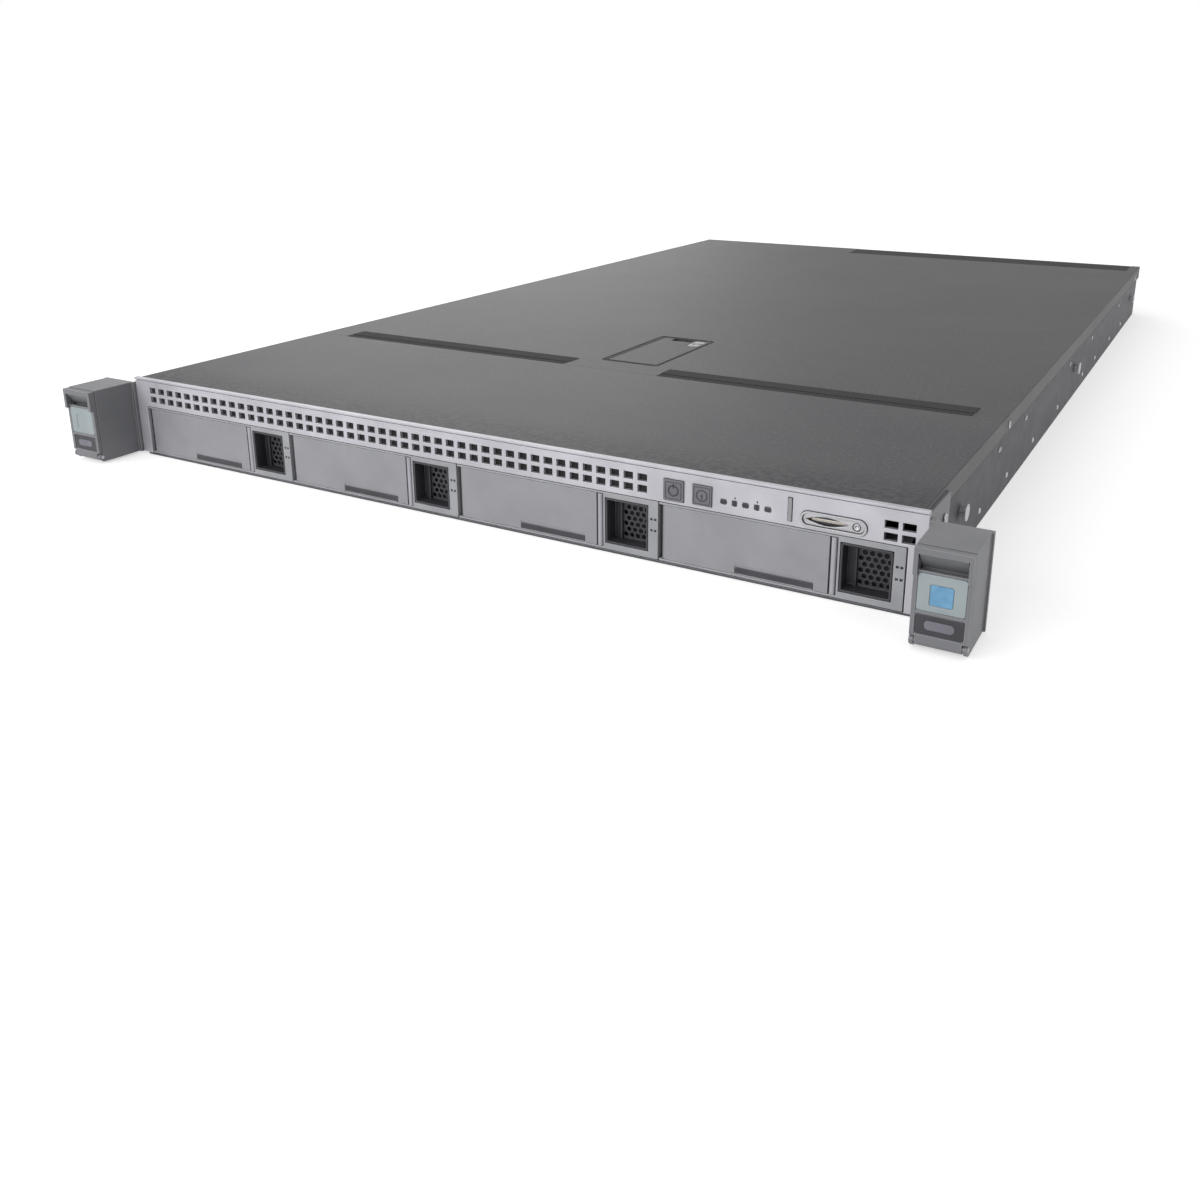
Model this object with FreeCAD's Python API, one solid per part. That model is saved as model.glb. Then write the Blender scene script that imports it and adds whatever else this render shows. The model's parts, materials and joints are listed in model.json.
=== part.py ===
import FreeCAD, Part
import math
import os

V = FreeCAD.Vector

# A 1U rack server with four large drive bays.  All sizes are millimetres.
# The model is laid out from the plane of the rack flanges: X to the right seen from the
# front, Y towards the rear, Z up from the underside.  save() moves the finished shapes so
# that the origin lies under the middle of the whole server.

# ---------------------------------------------------------------- overall form
bay_count = 4
disk_width = 101.6
rail_thick = 1.0
bay_side_gap = 0.7
bay_margin = 4.5
chassis_height = 43.2
chassis_depth = 728.0
ear_width = 26.5
ear_reach = 28.0
rack_hole_inset = 8.45
rack_hole_radius = 3.4
sheet = 1.0
panel_gap = 0.3
pin_play = 0.05

bay_pitch = disk_width + 2 * (rail_thick + bay_side_gap)
chassis_width = bay_count * bay_pitch + 2 * bay_margin
rack_width = chassis_width + 2 * ear_width
rack_hole_spacing = rack_width - 2 * rack_hole_inset
half_width = chassis_width / 2
roof_under = chassis_height - sheet
wall_out = half_width - sheet - panel_gap
wall_in = wall_out - sheet
rim_top = roof_under - panel_gap

# ---------------------------------------------------------------- front bezel
bezel_thick = 2.0
bezel_overhang = 2.8
bezel_gap = 0.4
lip_proud = 0.6
lip_groove = 0.6
groove_depth = 0.9
vent_hole_width = 4.6
vent_hole_height = 3.3
vent_pitch_x = 6.7
vent_pitch_z = 5.0
vent_field_margin = 5.6
vent_field_gap = 10.2
vent_drop = 0.65

# ---------------------------------------------------------------- front controls
power_button_inset = 102.5
power_button_size = 9.2
id_button_inset = 89.5
id_button_size = 8.6
button_drop = 1.35
button_proud = 0.6
button_play = 0.2
button_travel = 1.0
button_rim = 0.8
button_stem_radius = 1.5
switch_size = 6.0
switch_thick = 1.6
board_thick = 1.6
front_board_y = 9.0
front_board_margin = 6.0
bezel_post_radius = 1.4
light_count = 5
light_first_inset = 80.0
light_pitch = 4.8
light_size = 2.2
light_play = 0.1
light_drop = 2.35
tag_inset = 51.5
tag_thick = 1.5
tag_height = 9.6
tag_drop = 0.55
tag_proud = 0.4
tag_stop_height = 0.6
tag_travel = 40.0
tag_sleeve = 12.0
tag_stop = 3.0
tag_wall = 1.0
kvm_inset = 33.7
kvm_drop = 3.05
kvm_width = 26.9
kvm_height = 6.6
kvm_wall = 0.9
kvm_proud = 0.8
kvm_flange = 1.6
kvm_flange_thick = 1.2
kvm_depth = 12.0
kvm_tongue_setback = 1.0
kvm_mouth_depth = 8.0
kvm_tongue_width = 18.0
kvm_tongue_thick = 1.2
corner_vent_inset = 7.7
corner_vent_drop = 1.95
corner_vent_width = 5.3
corner_vent_height = 3.3
corner_vent_bar = 1.6

# ---------------------------------------------------------------- drive bays
disk_length = 147.0
disk_height = 26.1
disk_gap = 0.4
disk_lid_step = 0.6
disk_lid_margin = 3.0
disk_plug_inset = 12.5
disk_plug_width = 40.0
plug_side_gap = 4.0
plug_lift = 2.0
plug_height = 5.0
disk_plug_height = 6.0
disk_plug_depth = 6.0
cage_sheet = 0.8
bay_gap = 0.3
carrier_floor_gap = 0.3
plug_gap = 0.6
carrier_front_height = 26.0
carrier_front_depth = 11.0
carrier_edge = 0.3
rail_window_inset = 7.0
rail_window_count = 3
frame_lip = 0.8
lever_pivot_u = 4.0
lever_hub_radius = 3.2
lever_plate = 2.2
lever_play = 0.2
lever_pin_radius = 1.0
lever_lip_width = 2.4
lever_lip_depth = 5.6
lever_rib = 1.2
lever_rib_depth = 4.4
pocket_wall = 1.4
label_width = 34.0
label_inset = 5.8
label_height = 3.8
label_depth = 0.3
release_width = 2.6
release_depth = 7.2
release_proud = 0.4
release_play = 0.3
release_travel = 1.5
release_round = 1.0
recess_wall = 0.8
recess_width = 21.2
recess_height = 21.0
recess_rise = 13.2
mesh_thick = 1.0
mesh_hole = 3.1
mesh_pitch = 4.1
led_column = 4.5
led_dot = 1.1
led_dot_depth = 0.8
led_dot_rise = (17.7, 12.7)

carrier_z = sheet + carrier_floor_gap
strip_bottom = carrier_z + carrier_front_height + bezel_gap
strip_middle = (strip_bottom + chassis_height - sheet) / 2
recess_z = carrier_z + recess_rise
lever_end_u = (bay_pitch - carrier_edge - led_column - recess_width - recess_wall - lever_play
               - release_width - release_play - panel_gap)
label_right_u = lever_end_u - label_inset
label_left_u = label_right_u - label_width
cage_left = -bay_count * bay_pitch / 2
cage_ceiling = carrier_z + disk_height + 0.4
cage_front = bezel_thick + tag_sleeve
disk_front = carrier_front_depth + disk_gap
disk_back = disk_front + disk_length
cage_back = disk_back + plug_gap + 3.0
lever_hub_y = lever_hub_radius
backplane_y = cage_back + 1.0
bezel_half = half_width + bezel_overhang
power_button_x = half_width - power_button_inset
id_button_x = half_width - id_button_inset
button_z = strip_middle - button_drop
light_first_x = half_width - light_first_inset
light_z = strip_middle - light_drop
tag_x = half_width - tag_inset
tag_z = strip_middle - tag_drop
kvm_x = half_width - kvm_inset
kvm_z = strip_middle - kvm_drop
corner_vent_x = half_width - corner_vent_inset
corner_vent_z = strip_middle - corner_vent_drop

# ---------------------------------------------------------------- top panels
front_panel_back = 140.0
flange_reach = 15.0
skirt_height = 9.0
strip_notch_inner = 30.0
strip_notch_margin_left = 21.0
strip_notch_margin_right = 14.5
strip_notch_depth = 6.7
cover_travel = 12.0
hook_length = 8.0
hook_height = 1.2
hook_drop = 7.2
hook_count = 3
hook_front_gap = 60.0
hook_rear_gap = 90.0
hook_inner_reach = 0.5
sunk_left = -47.0
sunk_margin_right = 7.5
sunk_length = 22.0
sunk_depth = 1.0

hook_z = chassis_height - hook_drop
sunk_right = half_width - sunk_margin_right
sunk_front = chassis_depth - sunk_length
rear_top = roof_under - sunk_depth - panel_gap

# ---------------------------------------------------------------- cover latch
latch_left = -14.0
latch_right = 16.0
latch_front = 163.0
latch_length = 74.0
latch_gap = 0.5
latch_top_drop = 0.2
latch_plate = 1.2
latch_hub_radius = 1.8
latch_hub_drop = 0.1
latch_pin_radius = 1.0
latch_side_depth = 2.4
pan_depth = 4.2
pan_sheet = 0.8
lock_x = 11.8
lock_back_offset = 8.6
lock_radius = 3.0
lock_stem_radius = 1.5
lock_pad_width = 7.6
lock_pad_length = 15.0
lock_pad_depth = 0.4
lock_slot = 0.9
lock_slot_depth = 0.3
finger_notch = 14.0
finger_notch_depth = 7.0

latch_back = latch_front + latch_length
latch_top = chassis_height - latch_top_drop
latch_pivot_y = latch_front + latch_hub_radius
latch_pivot_z = latch_top - latch_hub_radius - latch_hub_drop
lock_y = latch_back - lock_back_offset

# ---------------------------------------------------------------- rack ears
ear_sheet = 1.6
ear_bottom = 1.0
ear_top = 40.2
ear_roof = 1.2
ear_wall_front = 24.2
ear_floor_front = 19.0
ear_side_back = 36.0
ear_side_gap = 0.1
ear_pad_inset = 3.0
ear_body_gap = 1.8
ear_body_inset = 0.8
slam_plate = 1.8
slam_face = 26.4
slam_pivot_z = 3.6
slam_pin_radius = 0.9
slam_top = 39.9
slam_brow = 37.6
slam_scoop_bottom = 31.0
slam_scoop_back = 21.0
slam_scoop_wall = 1.6
slam_side = 1.6
slam_plate_bottom = 5.9
slam_cheek = 1.2
slam_cheek_depth = 4.6
slam_cheek_top = 30.0
slam_side_play = 0.4
slam_cheek_lap = 0.4
badge_inset_x = 1.6
badge_depth = 0.5
badge_upper = (15.8, 30.2)
badge_lower = (6.6, 14.6)
pawl_inset = 6.0
pawl_y = -8.0
pawl_bottom = 6.9
pawl_height = 9.2
pawl_hub_radius = 3.2
pawl_pin_radius = 1.5
pawl_arm = 3.0
pawl_reach = 7.0
pawl_hook = 3.5
pawl_tail = 10.0
pawl_tail_thick = 2.4
pawl_tail_inset = 2.0
pawl_play = 0.3
ledge_thick = 1.2
ledge_front = -13.0
ledge_reach = 5.0
rack_hole_z = 21.6

ear_out = rack_width / 2
ear_in = half_width + ear_side_gap
ear_neck = bezel_half + panel_gap
ear_body_in = bezel_half + panel_gap + ear_body_gap
ear_body_out = ear_out - ear_body_inset
pawl_x = ear_body_in + pawl_inset
slam_pivot_y = -(slam_face - slam_plate)

# ---------------------------------------------------------------- rails
peg_front = 70.0
peg_rear_gap = 38.0
peg_z = 20.0
peg_radius = 2.2
peg_length = 2.0
peg_head_radius = 3.8
peg_head = 1.2

peg_back = chassis_depth - peg_rear_gap
peg_rows = (peg_front, (peg_front + peg_back) / 2, peg_back)

# ---------------------------------------------------------------- fans
fan_count = 6
fan_size = 40.0
fan_length = 56.0
fan_front = 185.0
fan_side_gap = 20.2
fan_centre_gap = 40.0
fan_bore_radius = 19.2
fan_tip_play = 0.6
fan_hub_radius = 9.0
fan_strut = 2.4
fan_strut_depth = 3.0
fan_bearing = 8.0
fan_shaft_reach = 4.0
rotor_setback = 6.0
rotor_length = 30.0
blade_count = 5
blade_thick = 1.2
blade_chord = 20.0
blade_pitch = 32.0
rotor_shaft_radius = 1.5

fan_outer_x = wall_in - fan_side_gap - fan_size / 2
fan_pitch = (fan_outer_x - fan_centre_gap) / (fan_count // 2 - 1)

# ---------------------------------------------------------------- main board
board_side_gap = 6.2
board_front = 250.0
board_psu_gap = 9.0
board_notch_gap = 4.4
board_back_gap = 1.0
board_z = 5.0
standoff_width = 5.5
standoff_inset = 8.0
standoff_rear_gap = 30.0
cpu_setback = 85.0
socket_width = 46.0
socket_length = 52.0
socket_height = 5.0
sink_width = 78.0
sink_length = 90.0
sink_base = 4.0
sink_top = 36.0
sink_fin_count = 13
sink_fin = 1.2
dimm_count = 6
dimm_pitch = 8.6
dimm_thick = 1.4
dimm_length = 133.0
dimm_top = 37.0
dimm_slot_end = 3.0
dimm_slot_width = 6.0
dimm_slot_height = 6.0
dimm_group_gap = 7.0
riser_window_gap = 8.0
riser_rear_gap = 38.0
riser_length = 130.0
riser_top = 38.0
riser_socket_width = 8.0
riser_socket_height = 8.0
riser_socket_rise = 18.0
riser_socket_inset = 20.0

board_top = board_z + board_thick
board_half = wall_in - board_side_gap
cpu_x = (-board_half / 2, board_half / 2)
cpu_y = board_front + cpu_setback
riser_front = chassis_depth - riser_rear_gap - riser_length

# ---------------------------------------------------------------- power supplies
psu_count = 2
psu_width = 54.5
psu_height = 39.5
psu_length = 195.0
psu_gap = 0.3
psu_divider = 0.6
psu_side_gap = 1.0
inlet_left = 5.0
inlet_width = 27.0
inlet_height = 19.6
inlet_bottom = 9.0
inlet_depth = 16.0
inlet_corner = 5.0
inlet_rim = 1.6
inlet_rim_proud = 1.2
prong_width = 4.0
prong_thick = 2.0
prong_length = 11.0
prong_spacing = 7.0
prong_drop = 2.0
grille_left = 35.0
grille_hole = 3.0
grille_pitch = 4.2
grille_depth = 1.2
psu_handle_reach = 22.0
psu_handle_x = 37.0
psu_handle_width = 8.0
psu_handle_bar = 4.0
psu_handle_bottom = 5.0
psu_handle_top = 36.0
psu_latch_pocket_front = 28.0
psu_latch_pocket = 4.6
psu_latch_inset = 1.9
psu_latch_height = 14.0
psu_latch_play = 0.4
psu_latch_tab_thick = 2.4
psu_latch_tab_length = 6.0
psu_latch_centre_z = 20.0
psu_latch_leaf = 1.2
psu_latch_pin_radius = 1.0
psu_latch_hub_radius = 1.7
psu_latch_reach = 15.0
psu_latch_hook_length = 3.0

psu_slot = psu_width + 2 * psu_gap
psu_z = sheet + psu_gap
psu_bay_left = wall_in - psu_side_gap - psu_count * psu_slot - (psu_count - 1) * psu_divider
board_notch_left = psu_bay_left - board_notch_gap
board_notch_front = chassis_depth - psu_length - board_psu_gap

# ---------------------------------------------------------------- rear panel
window_overlap = 0.8
window_margin_right = 2.4
window_margin_left = 12.2
riser_one_width = 120.0
riser_two_width = 80.0
window_bottom = 22.5
window_drop = 1.9
card_width = 80.0
card_bottom = 3.0
card_height = 17.5
blank_hole_width = 9.2
blank_hole_height = 3.4
blank_hole_pitch_x = 12.4
blank_hole_pitch_z = 5.2
blank_edge = 3.0
jack_usb_gap = 78.0
jack_pitch = 15.8
jack_group_gap = 4.0
jack_height = 13.6
jack_depth = 18.0
jack_proud = 0.6
jack_wall = 1.4
jack_rim = 0.8
jack_rim_proud = 1.2
port_panel_vga_gap = 4.5
port_panel_riser_gap = 1.2
port_panel_drop = 0.2
jack_mouth_width = 12.0
jack_mouth_height = 9.0
jack_mouth_depth = 12.0
usb_window_gap = 25.0
usb_width = 14.6
usb_height = 14.8
usb_mouth_width = 12.6
usb_mouth_height = 5.2
usb_tongue = 1.8
usb_mouth_depth = 9.0
vga_usb_gap = 118.0
vga_width = 31.0
vga_height = 12.6
vga_shell_width = 17.0
vga_shell_height = 8.4
vga_shell_proud = 5.6
vga_shell_taper = 1.4
vga_depth = 10.0
usb_tongue_inset = 0.6
port_play = 0.2
rear_button_vga_gap = 26.0
rear_button_z = 12.0
rear_button_radius = 2.3
rear_button_depth = 3.0
rear_button_proud = 0.6
rear_button_rim = 0.8
rear_vent_hole = 4.2
rear_vent_pitch = 6.2
rear_vent_margin = 3.0
rear_vent_bottom = 4.0
rear_vent_top = 20.0

window_top = rear_top - window_drop
window_right = psu_bay_left - window_margin_right
window_left = -wall_in + window_margin_left
riser_one_window = (window_right - riser_one_width, window_right, window_bottom, window_top)
card_window = (window_right - card_width, window_right, card_bottom, card_bottom + card_height)
riser_two_window = (window_left, window_left + riser_two_width, window_bottom, window_top)
riser_x = (riser_one_window[0] - riser_window_gap, riser_two_window[1] + riser_window_gap)
usb_x = card_window[0] - usb_window_gap
jack_first_x = usb_x - jack_usb_gap
vga_x = usb_x - vga_usb_gap
rear_button_x = vga_x - rear_button_vga_gap
port_left = vga_x + vga_shell_width / 2 + port_panel_vga_gap
port_right = riser_one_window[0] - port_panel_riser_gap
port_top = window_bottom - port_panel_drop
rear_inside = chassis_depth - sheet
rear_reach = chassis_depth + psu_handle_reach
origin_y = (rear_reach - ear_reach) / 2

X_AXIS = V(1, 0, 0)
Y_AXIS = V(0, 1, 0)
Z_AXIS = V(0, 0, 1)


# ================================================================ shared helpers
def box(x0, x1, y0, y1, z0, z1):
    """Block between two opposite corners."""
    return Part.makeBox(x1 - x0, y1 - y0, z1 - z0, V(x0, y0, z0))


def rod(x, y, z, radius, length, axis):
    """Cylinder that starts at a point and runs along an axis."""
    return Part.makeCylinder(radius, length, V(x, y, z), axis)


def join(shapes):
    """One solid from pieces that overlap or meet."""
    return shapes[0].fuse(shapes[1:]).removeSplitter()


def group(shapes):
    """Separate solids kept together in one node."""
    return Part.makeCompound(shapes)


def frame_xz(x0, x1, z0, z1, y):
    """Rectangle standing upright at a depth y."""
    corners = [V(x0, y, z0), V(x1, y, z0), V(x1, y, z1), V(x0, y, z1), V(x0, y, z0)]
    return Part.makePolygon(corners)


def frame_xy(x0, x1, y0, y1, z):
    """Rectangle lying flat at a height z."""
    corners = [V(x0, y0, z), V(x1, y0, z), V(x1, y1, z), V(x0, y1, z), V(x0, y0, z)]
    return Part.makePolygon(corners)


def face_with_holes(wires):
    """Flat face inside the first outline, open at the others."""
    return Part.makeFace(Part.makeCompound(wires), "Part::FaceMakerBullseye")


def upright_plate(x0, x1, y0, y1, z0, z1, windows, extra=()):
    """Plate facing the front with windows (x0, x1, z0, z1) and other outlines through it."""
    wires = [frame_xz(x0, x1, z0, z1, y0)]
    wires += [frame_xz(*window, y0) for window in windows]
    wires += list(extra)
    return face_with_holes(wires).extrude(V(0, y1 - y0, 0))


def flat_plate(x0, x1, y0, y1, z0, z1, windows):
    """Level plate with windows (x0, x1, y0, y1) through it."""
    wires = [frame_xy(x0, x1, y0, y1, z0)]
    wires += [frame_xy(*window, z0) for window in windows]
    return face_with_holes(wires).extrude(V(0, 0, z1 - z0))


def hole_grid(left, right, bottom, top, width, height, pitch_x, pitch_z):
    """Windows of an even grid, as many as fit, centred in a field."""
    columns = int((right - left - width) / pitch_x) + 1
    rows = int((top - bottom - height) / pitch_z) + 1
    first_x = (left + right - (columns - 1) * pitch_x) / 2
    first_z = (bottom + top - (rows - 1) * pitch_z) / 2
    windows = []
    for column in range(columns):
        for row in range(rows):
            x = first_x + column * pitch_x
            z = first_z + row * pitch_z
            windows.append((x - width / 2, x + width / 2, z - height / 2, z + height / 2))
    return windows


def window_at(x, z, width, height):
    """Window of one size round a centre."""
    return (x - width / 2, x + width / 2, z - height / 2, z + height / 2)


def stadium_wire(x, y, z, width, height):
    """Upright outline with round ends, at depth y."""
    radius = height / 2
    run = width / 2 - radius
    low_left = V(x - run, y, z - radius)
    low_right = V(x + run, y, z - radius)
    high_right = V(x + run, y, z + radius)
    high_left = V(x - run, y, z + radius)
    right = Part.Arc(low_right, V(x + run + radius, y, z), high_right).toShape()
    left = Part.Arc(high_left, V(x - run - radius, y, z), low_left).toShape()
    bottom = Part.makeLine(low_left, low_right)
    top = Part.makeLine(high_right, high_left)
    return Part.Wire([bottom, right, top, left])


def stadium(x, z, width, height, y0, y1):
    """Round-ended bar from y0 to y1."""
    wire = stadium_wire(x, y0, z, width, height)
    return Part.Face(wire).extrude(V(0, y1 - y0, 0))


def mirrored(shape):
    """The same piece on the other side of the server."""
    return shape.mirror(V(0, 0, 0), X_AXIS)


def save(name, shape):
    """Move a finished shape to the server's own origin and write it."""
    moved = shape.copy()
    moved.translate(V(0, -origin_y, 0))
    moved.exportStep(os.path.join("parts", name + ".step"))


# ================================================================ places that pieces share
def bay_left(bay):
    """Left edge of a drive bay."""
    return cage_left + bay * bay_pitch


def release_left_u():
    """Left side of the release button within its bay."""
    return lever_end_u + panel_gap + release_play


def hook_rows():
    """Where the cover's hooks lie along its side."""
    first = front_panel_back + hook_front_gap
    step = (chassis_depth - first - hook_rear_gap) / (hook_count - 1)
    return [first + step * row for row in range(hook_count)]


def psu_left(index):
    """Left side of a power supply in its bay."""
    return psu_bay_left + psu_gap + index * (psu_slot + psu_divider)


def fan_centres():
    """Middle of each fan across the server."""
    half = fan_count // 2
    right = [fan_centre_gap + fan_pitch * step for step in range(half)]
    return [-x for x in reversed(right)] + right


def light_centres():
    """Middle of each status light."""
    return [light_first_x + light_pitch * step for step in range(light_count)]


def jack_centres():
    """Middle of each network jack: two pairs with a gap between them."""
    first = [jack_first_x + jack_pitch * step for step in range(2)]
    second = [x + 2 * jack_pitch + jack_group_gap for x in first]
    return first, second


# ================================================================ fixed chassis
def chassis_tray():
    """Base and side walls, with the walls of the power supply bays."""
    base = box(-wall_out, wall_out, 0, rear_inside, 0, sheet)
    right = box(wall_in, wall_out, bezel_thick, rear_inside, 0, rim_top)
    slots = []
    for y in hook_rows():
        slots.append(box(wall_in - 1, wall_out + 1, y - panel_gap, y + hook_length + cover_travel + panel_gap,
                         hook_z - panel_gap, hook_z + hook_height + panel_gap))
    right = right.cut(slots)
    left = mirrored(right)
    bay_front = chassis_depth - psu_length
    bay_wall = box(psu_bay_left - sheet, psu_bay_left, bay_front, rear_inside, 0, rear_top)
    divider_x = psu_left(1) - psu_gap - psu_divider
    divider = box(divider_x, divider_x + psu_divider, bay_front, rear_inside, 0, rear_top)
    return join([base, right, left, bay_wall, divider])


def jack_windows():
    """Window of the port panel round each pair of network jacks."""
    windows = []
    for pair in jack_centres():
        windows.append((pair[0] - jack_pitch / 2 - port_play, pair[1] + jack_pitch / 2 + port_play,
                        board_top - port_play, board_top + jack_height + port_play))
    return windows


def rear_plate(left, right, bottom, windows):
    """Plate of the rear wall, up to its top edge."""
    return upright_plate(left, right, rear_inside, chassis_depth, bottom, rear_top, windows)


def rear_panel():
    """Rear wall: a plate on each side of the port panel and a vented strip above it."""
    top = rear_top - sheet
    vga_window = window_at(vga_x, board_top + vga_height / 2,
                           vga_shell_width + 2 * port_play, vga_shell_height + 2 * port_play)
    usb_window = window_at(usb_x, board_top + usb_height / 2,
                           usb_width + 2 * port_play, usb_height + 2 * port_play)
    button_left = rear_button_x - rear_button_radius - rear_vent_margin
    side_vents = hole_grid(-wall_in + rear_vent_margin, button_left, rear_vent_bottom, rear_vent_top,
                           rear_vent_hole, rear_vent_hole, rear_vent_pitch, rear_vent_pitch)
    left_plate = rear_plate(-wall_out, port_left, 0, [riser_two_window, vga_window] + side_vents)
    right_plate = rear_plate(port_right, wall_out, 0, [riser_one_window, card_window, usb_window])
    strip = rear_plate(port_left, port_right, port_top,
                       hole_grid(port_left + rear_vent_margin, port_right - rear_vent_margin,
                                 window_bottom, top - sheet, rear_vent_hole, rear_vent_hole,
                                 rear_vent_pitch, rear_vent_pitch))
    psu_right = psu_left(1) + psu_width + psu_gap
    psu_opening = box(psu_bay_left, psu_right, rear_inside - 1, chassis_depth + 1, sheet, rear_top + 1)
    button_hole = rod(rear_button_x, rear_inside - 1, rear_button_z, rear_button_radius + pin_play,
                      sheet + 2, Y_AXIS)
    return group([left_plate.cut(button_hole), right_plate.cut(psu_opening), strip])


def port_panel():
    """Plate with a collar round each pair of network jacks."""
    pieces = [upright_plate(port_left, port_right, rear_inside, chassis_depth, 0, port_top,
                            jack_windows())]
    for left, right, low, high in jack_windows():
        pieces.append(upright_plate(left - jack_rim, right + jack_rim, rear_inside,
                                    chassis_depth + jack_rim_proud, low - jack_rim, high + jack_rim,
                                    [(left, right, low, high)]))
    return join(pieces)


def front_top_panel():
    """Fixed roof over the drives, with a low flange that the cover's front edge laps."""
    roof = box(-half_width, half_width, bezel_thick, front_panel_back, roof_under, chassis_height)
    flange_half = wall_in - panel_gap
    flange_top = roof_under - panel_gap
    web = box(-flange_half, flange_half, front_panel_back - sheet, front_panel_back,
              flange_top - sheet, roof_under)
    flange = box(-flange_half, flange_half, front_panel_back - sheet,
                 front_panel_back + flange_reach, flange_top - sheet, flange_top)
    skirt = box(half_width - sheet, half_width, bezel_thick, front_panel_back,
                roof_under - skirt_height, roof_under)
    return join([roof, web, flange, skirt, mirrored(skirt)])


def front_bezel():
    """Face over the drives: vent holes, control openings, side posts and the top lip."""
    vent_z = strip_middle - vent_drop
    windows = []
    for z in (vent_z - vent_pitch_z / 2, vent_z + vent_pitch_z / 2):
        windows += hole_grid(-half_width + vent_field_margin, power_button_x - vent_field_gap,
                             z - vent_pitch_z / 2, z + vent_pitch_z / 2, vent_hole_width,
                             vent_hole_height, vent_pitch_x, vent_pitch_z)
    power_hole = power_button_size + 2 * button_play
    id_hole = id_button_size + 2 * button_play
    windows.append(window_at(power_button_x, button_z, power_hole, power_hole))
    windows.append(window_at(id_button_x, button_z, id_hole, id_hole))
    for x in light_centres():
        windows.append(window_at(x, light_z, light_size + 2 * light_play, light_size + 2 * light_play))
    windows.append(window_at(tag_x, tag_z, tag_thick + 2 * panel_gap, tag_height + 2 * panel_gap))
    step_x = corner_vent_width / 2 + corner_vent_bar / 2
    step_z = corner_vent_height / 2 + corner_vent_bar / 2
    for side in (-1, 1):
        for level in (-1, 1):
            windows.append(window_at(corner_vent_x + side * step_x, corner_vent_z + level * step_z,
                                     corner_vent_width, corner_vent_height))
    kvm_hole = stadium_wire(kvm_x, 0, kvm_z, kvm_width + 2 * port_play, kvm_height + 2 * port_play)
    strip_top = roof_under - lip_groove
    strip = upright_plate(-bezel_half, bezel_half, 0, bezel_thick, strip_bottom, strip_top,
                          windows, [kvm_hole])
    neck = box(-bezel_half, bezel_half, groove_depth, bezel_thick, strip_top, roof_under)
    lip = box(-bezel_half, bezel_half, -lip_proud, bezel_thick, roof_under, chassis_height)
    cage_right = cage_left + bay_count * bay_pitch
    post = box(cage_right + bay_gap, bezel_half, 0, bezel_thick, sheet, strip_bottom)
    sleeve_outer = window_at(tag_x, tag_z, tag_thick + 2 * panel_gap + 2 * tag_wall,
                             tag_height + 2 * panel_gap + 2 * tag_wall)
    sleeve_inner = window_at(tag_x, tag_z, tag_thick + 2 * panel_gap, tag_height + 2 * panel_gap)
    sleeve = upright_plate(sleeve_outer[0], sleeve_outer[1], bezel_thick, bezel_thick + tag_sleeve,
                           sleeve_outer[2], sleeve_outer[3], [sleeve_inner])
    posts = []
    for x in (power_button_x - power_button_size, light_centres()[-1] + light_pitch * 2 / 3):
        posts.append(rod(x, bezel_thick, button_z, bezel_post_radius, front_board_y - bezel_thick, Y_AXIS))
    return join([strip, neck, lip, post, mirrored(post), sleeve] + posts)


def drive_cage():
    """Ceiling and upright dividers between the drive bays."""
    cage_right = cage_left + bay_count * bay_pitch
    half = cage_sheet / 2
    ceiling = box(cage_left - half, cage_right + half, cage_front, cage_back,
                  cage_ceiling, cage_ceiling + cage_sheet)
    walls = []
    for index in range(bay_count + 1):
        x = cage_left + index * bay_pitch
        walls.append(box(x - half, x + half, cage_front, cage_back, sheet, cage_ceiling))
    return join([ceiling] + walls)


def drive_backplane():
    """Board behind the drives with one plug for each of them."""
    pieces = [box(-wall_in + 4, wall_in - 4, backplane_y, backplane_y + board_thick, sheet,
                  cage_ceiling)]
    for bay in range(bay_count):
        x = bay_left(bay) + bay_pitch / 2
        left = x - disk_width / 2 + disk_plug_inset + plug_side_gap
        right = left + disk_plug_width - 2 * plug_side_gap
        pieces.append(box(left, right, disk_back + plug_gap, backplane_y, carrier_z + plug_lift,
                          carrier_z + plug_lift + plug_height))
    return join(pieces)


def fan_housings():
    """Square fan bodies with a round bore and a bearing held by four struts."""
    centre_z = sheet + fan_size / 2
    fans = []
    for x in fan_centres():
        body = box(x - fan_size / 2, x + fan_size / 2, fan_front, fan_front + fan_length,
                   sheet, sheet + fan_size)
        bore = rod(x, fan_front - 1, centre_z, fan_bore_radius, fan_length + 2, Y_AXIS)
        bearing_y = fan_front + fan_length - fan_bearing
        bearing = rod(x, bearing_y, centre_z, fan_hub_radius, fan_bearing, Y_AXIS)
        reach = fan_bore_radius + 0.4
        strut_back = bearing_y + fan_strut_depth
        across = box(x - reach, x + reach, bearing_y, strut_back, centre_z - fan_strut / 2,
                     centre_z + fan_strut / 2)
        up = box(x - fan_strut / 2, x + fan_strut / 2, bearing_y, strut_back, centre_z - reach,
                 centre_z + reach)
        seat = rod(x, bearing_y - 1, centre_z, rotor_shaft_radius + pin_play, fan_bearing - 1, Y_AXIS)
        fans.append(join([body.cut(bore), bearing, across, up]).cut(seat))
    return group(fans)


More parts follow.
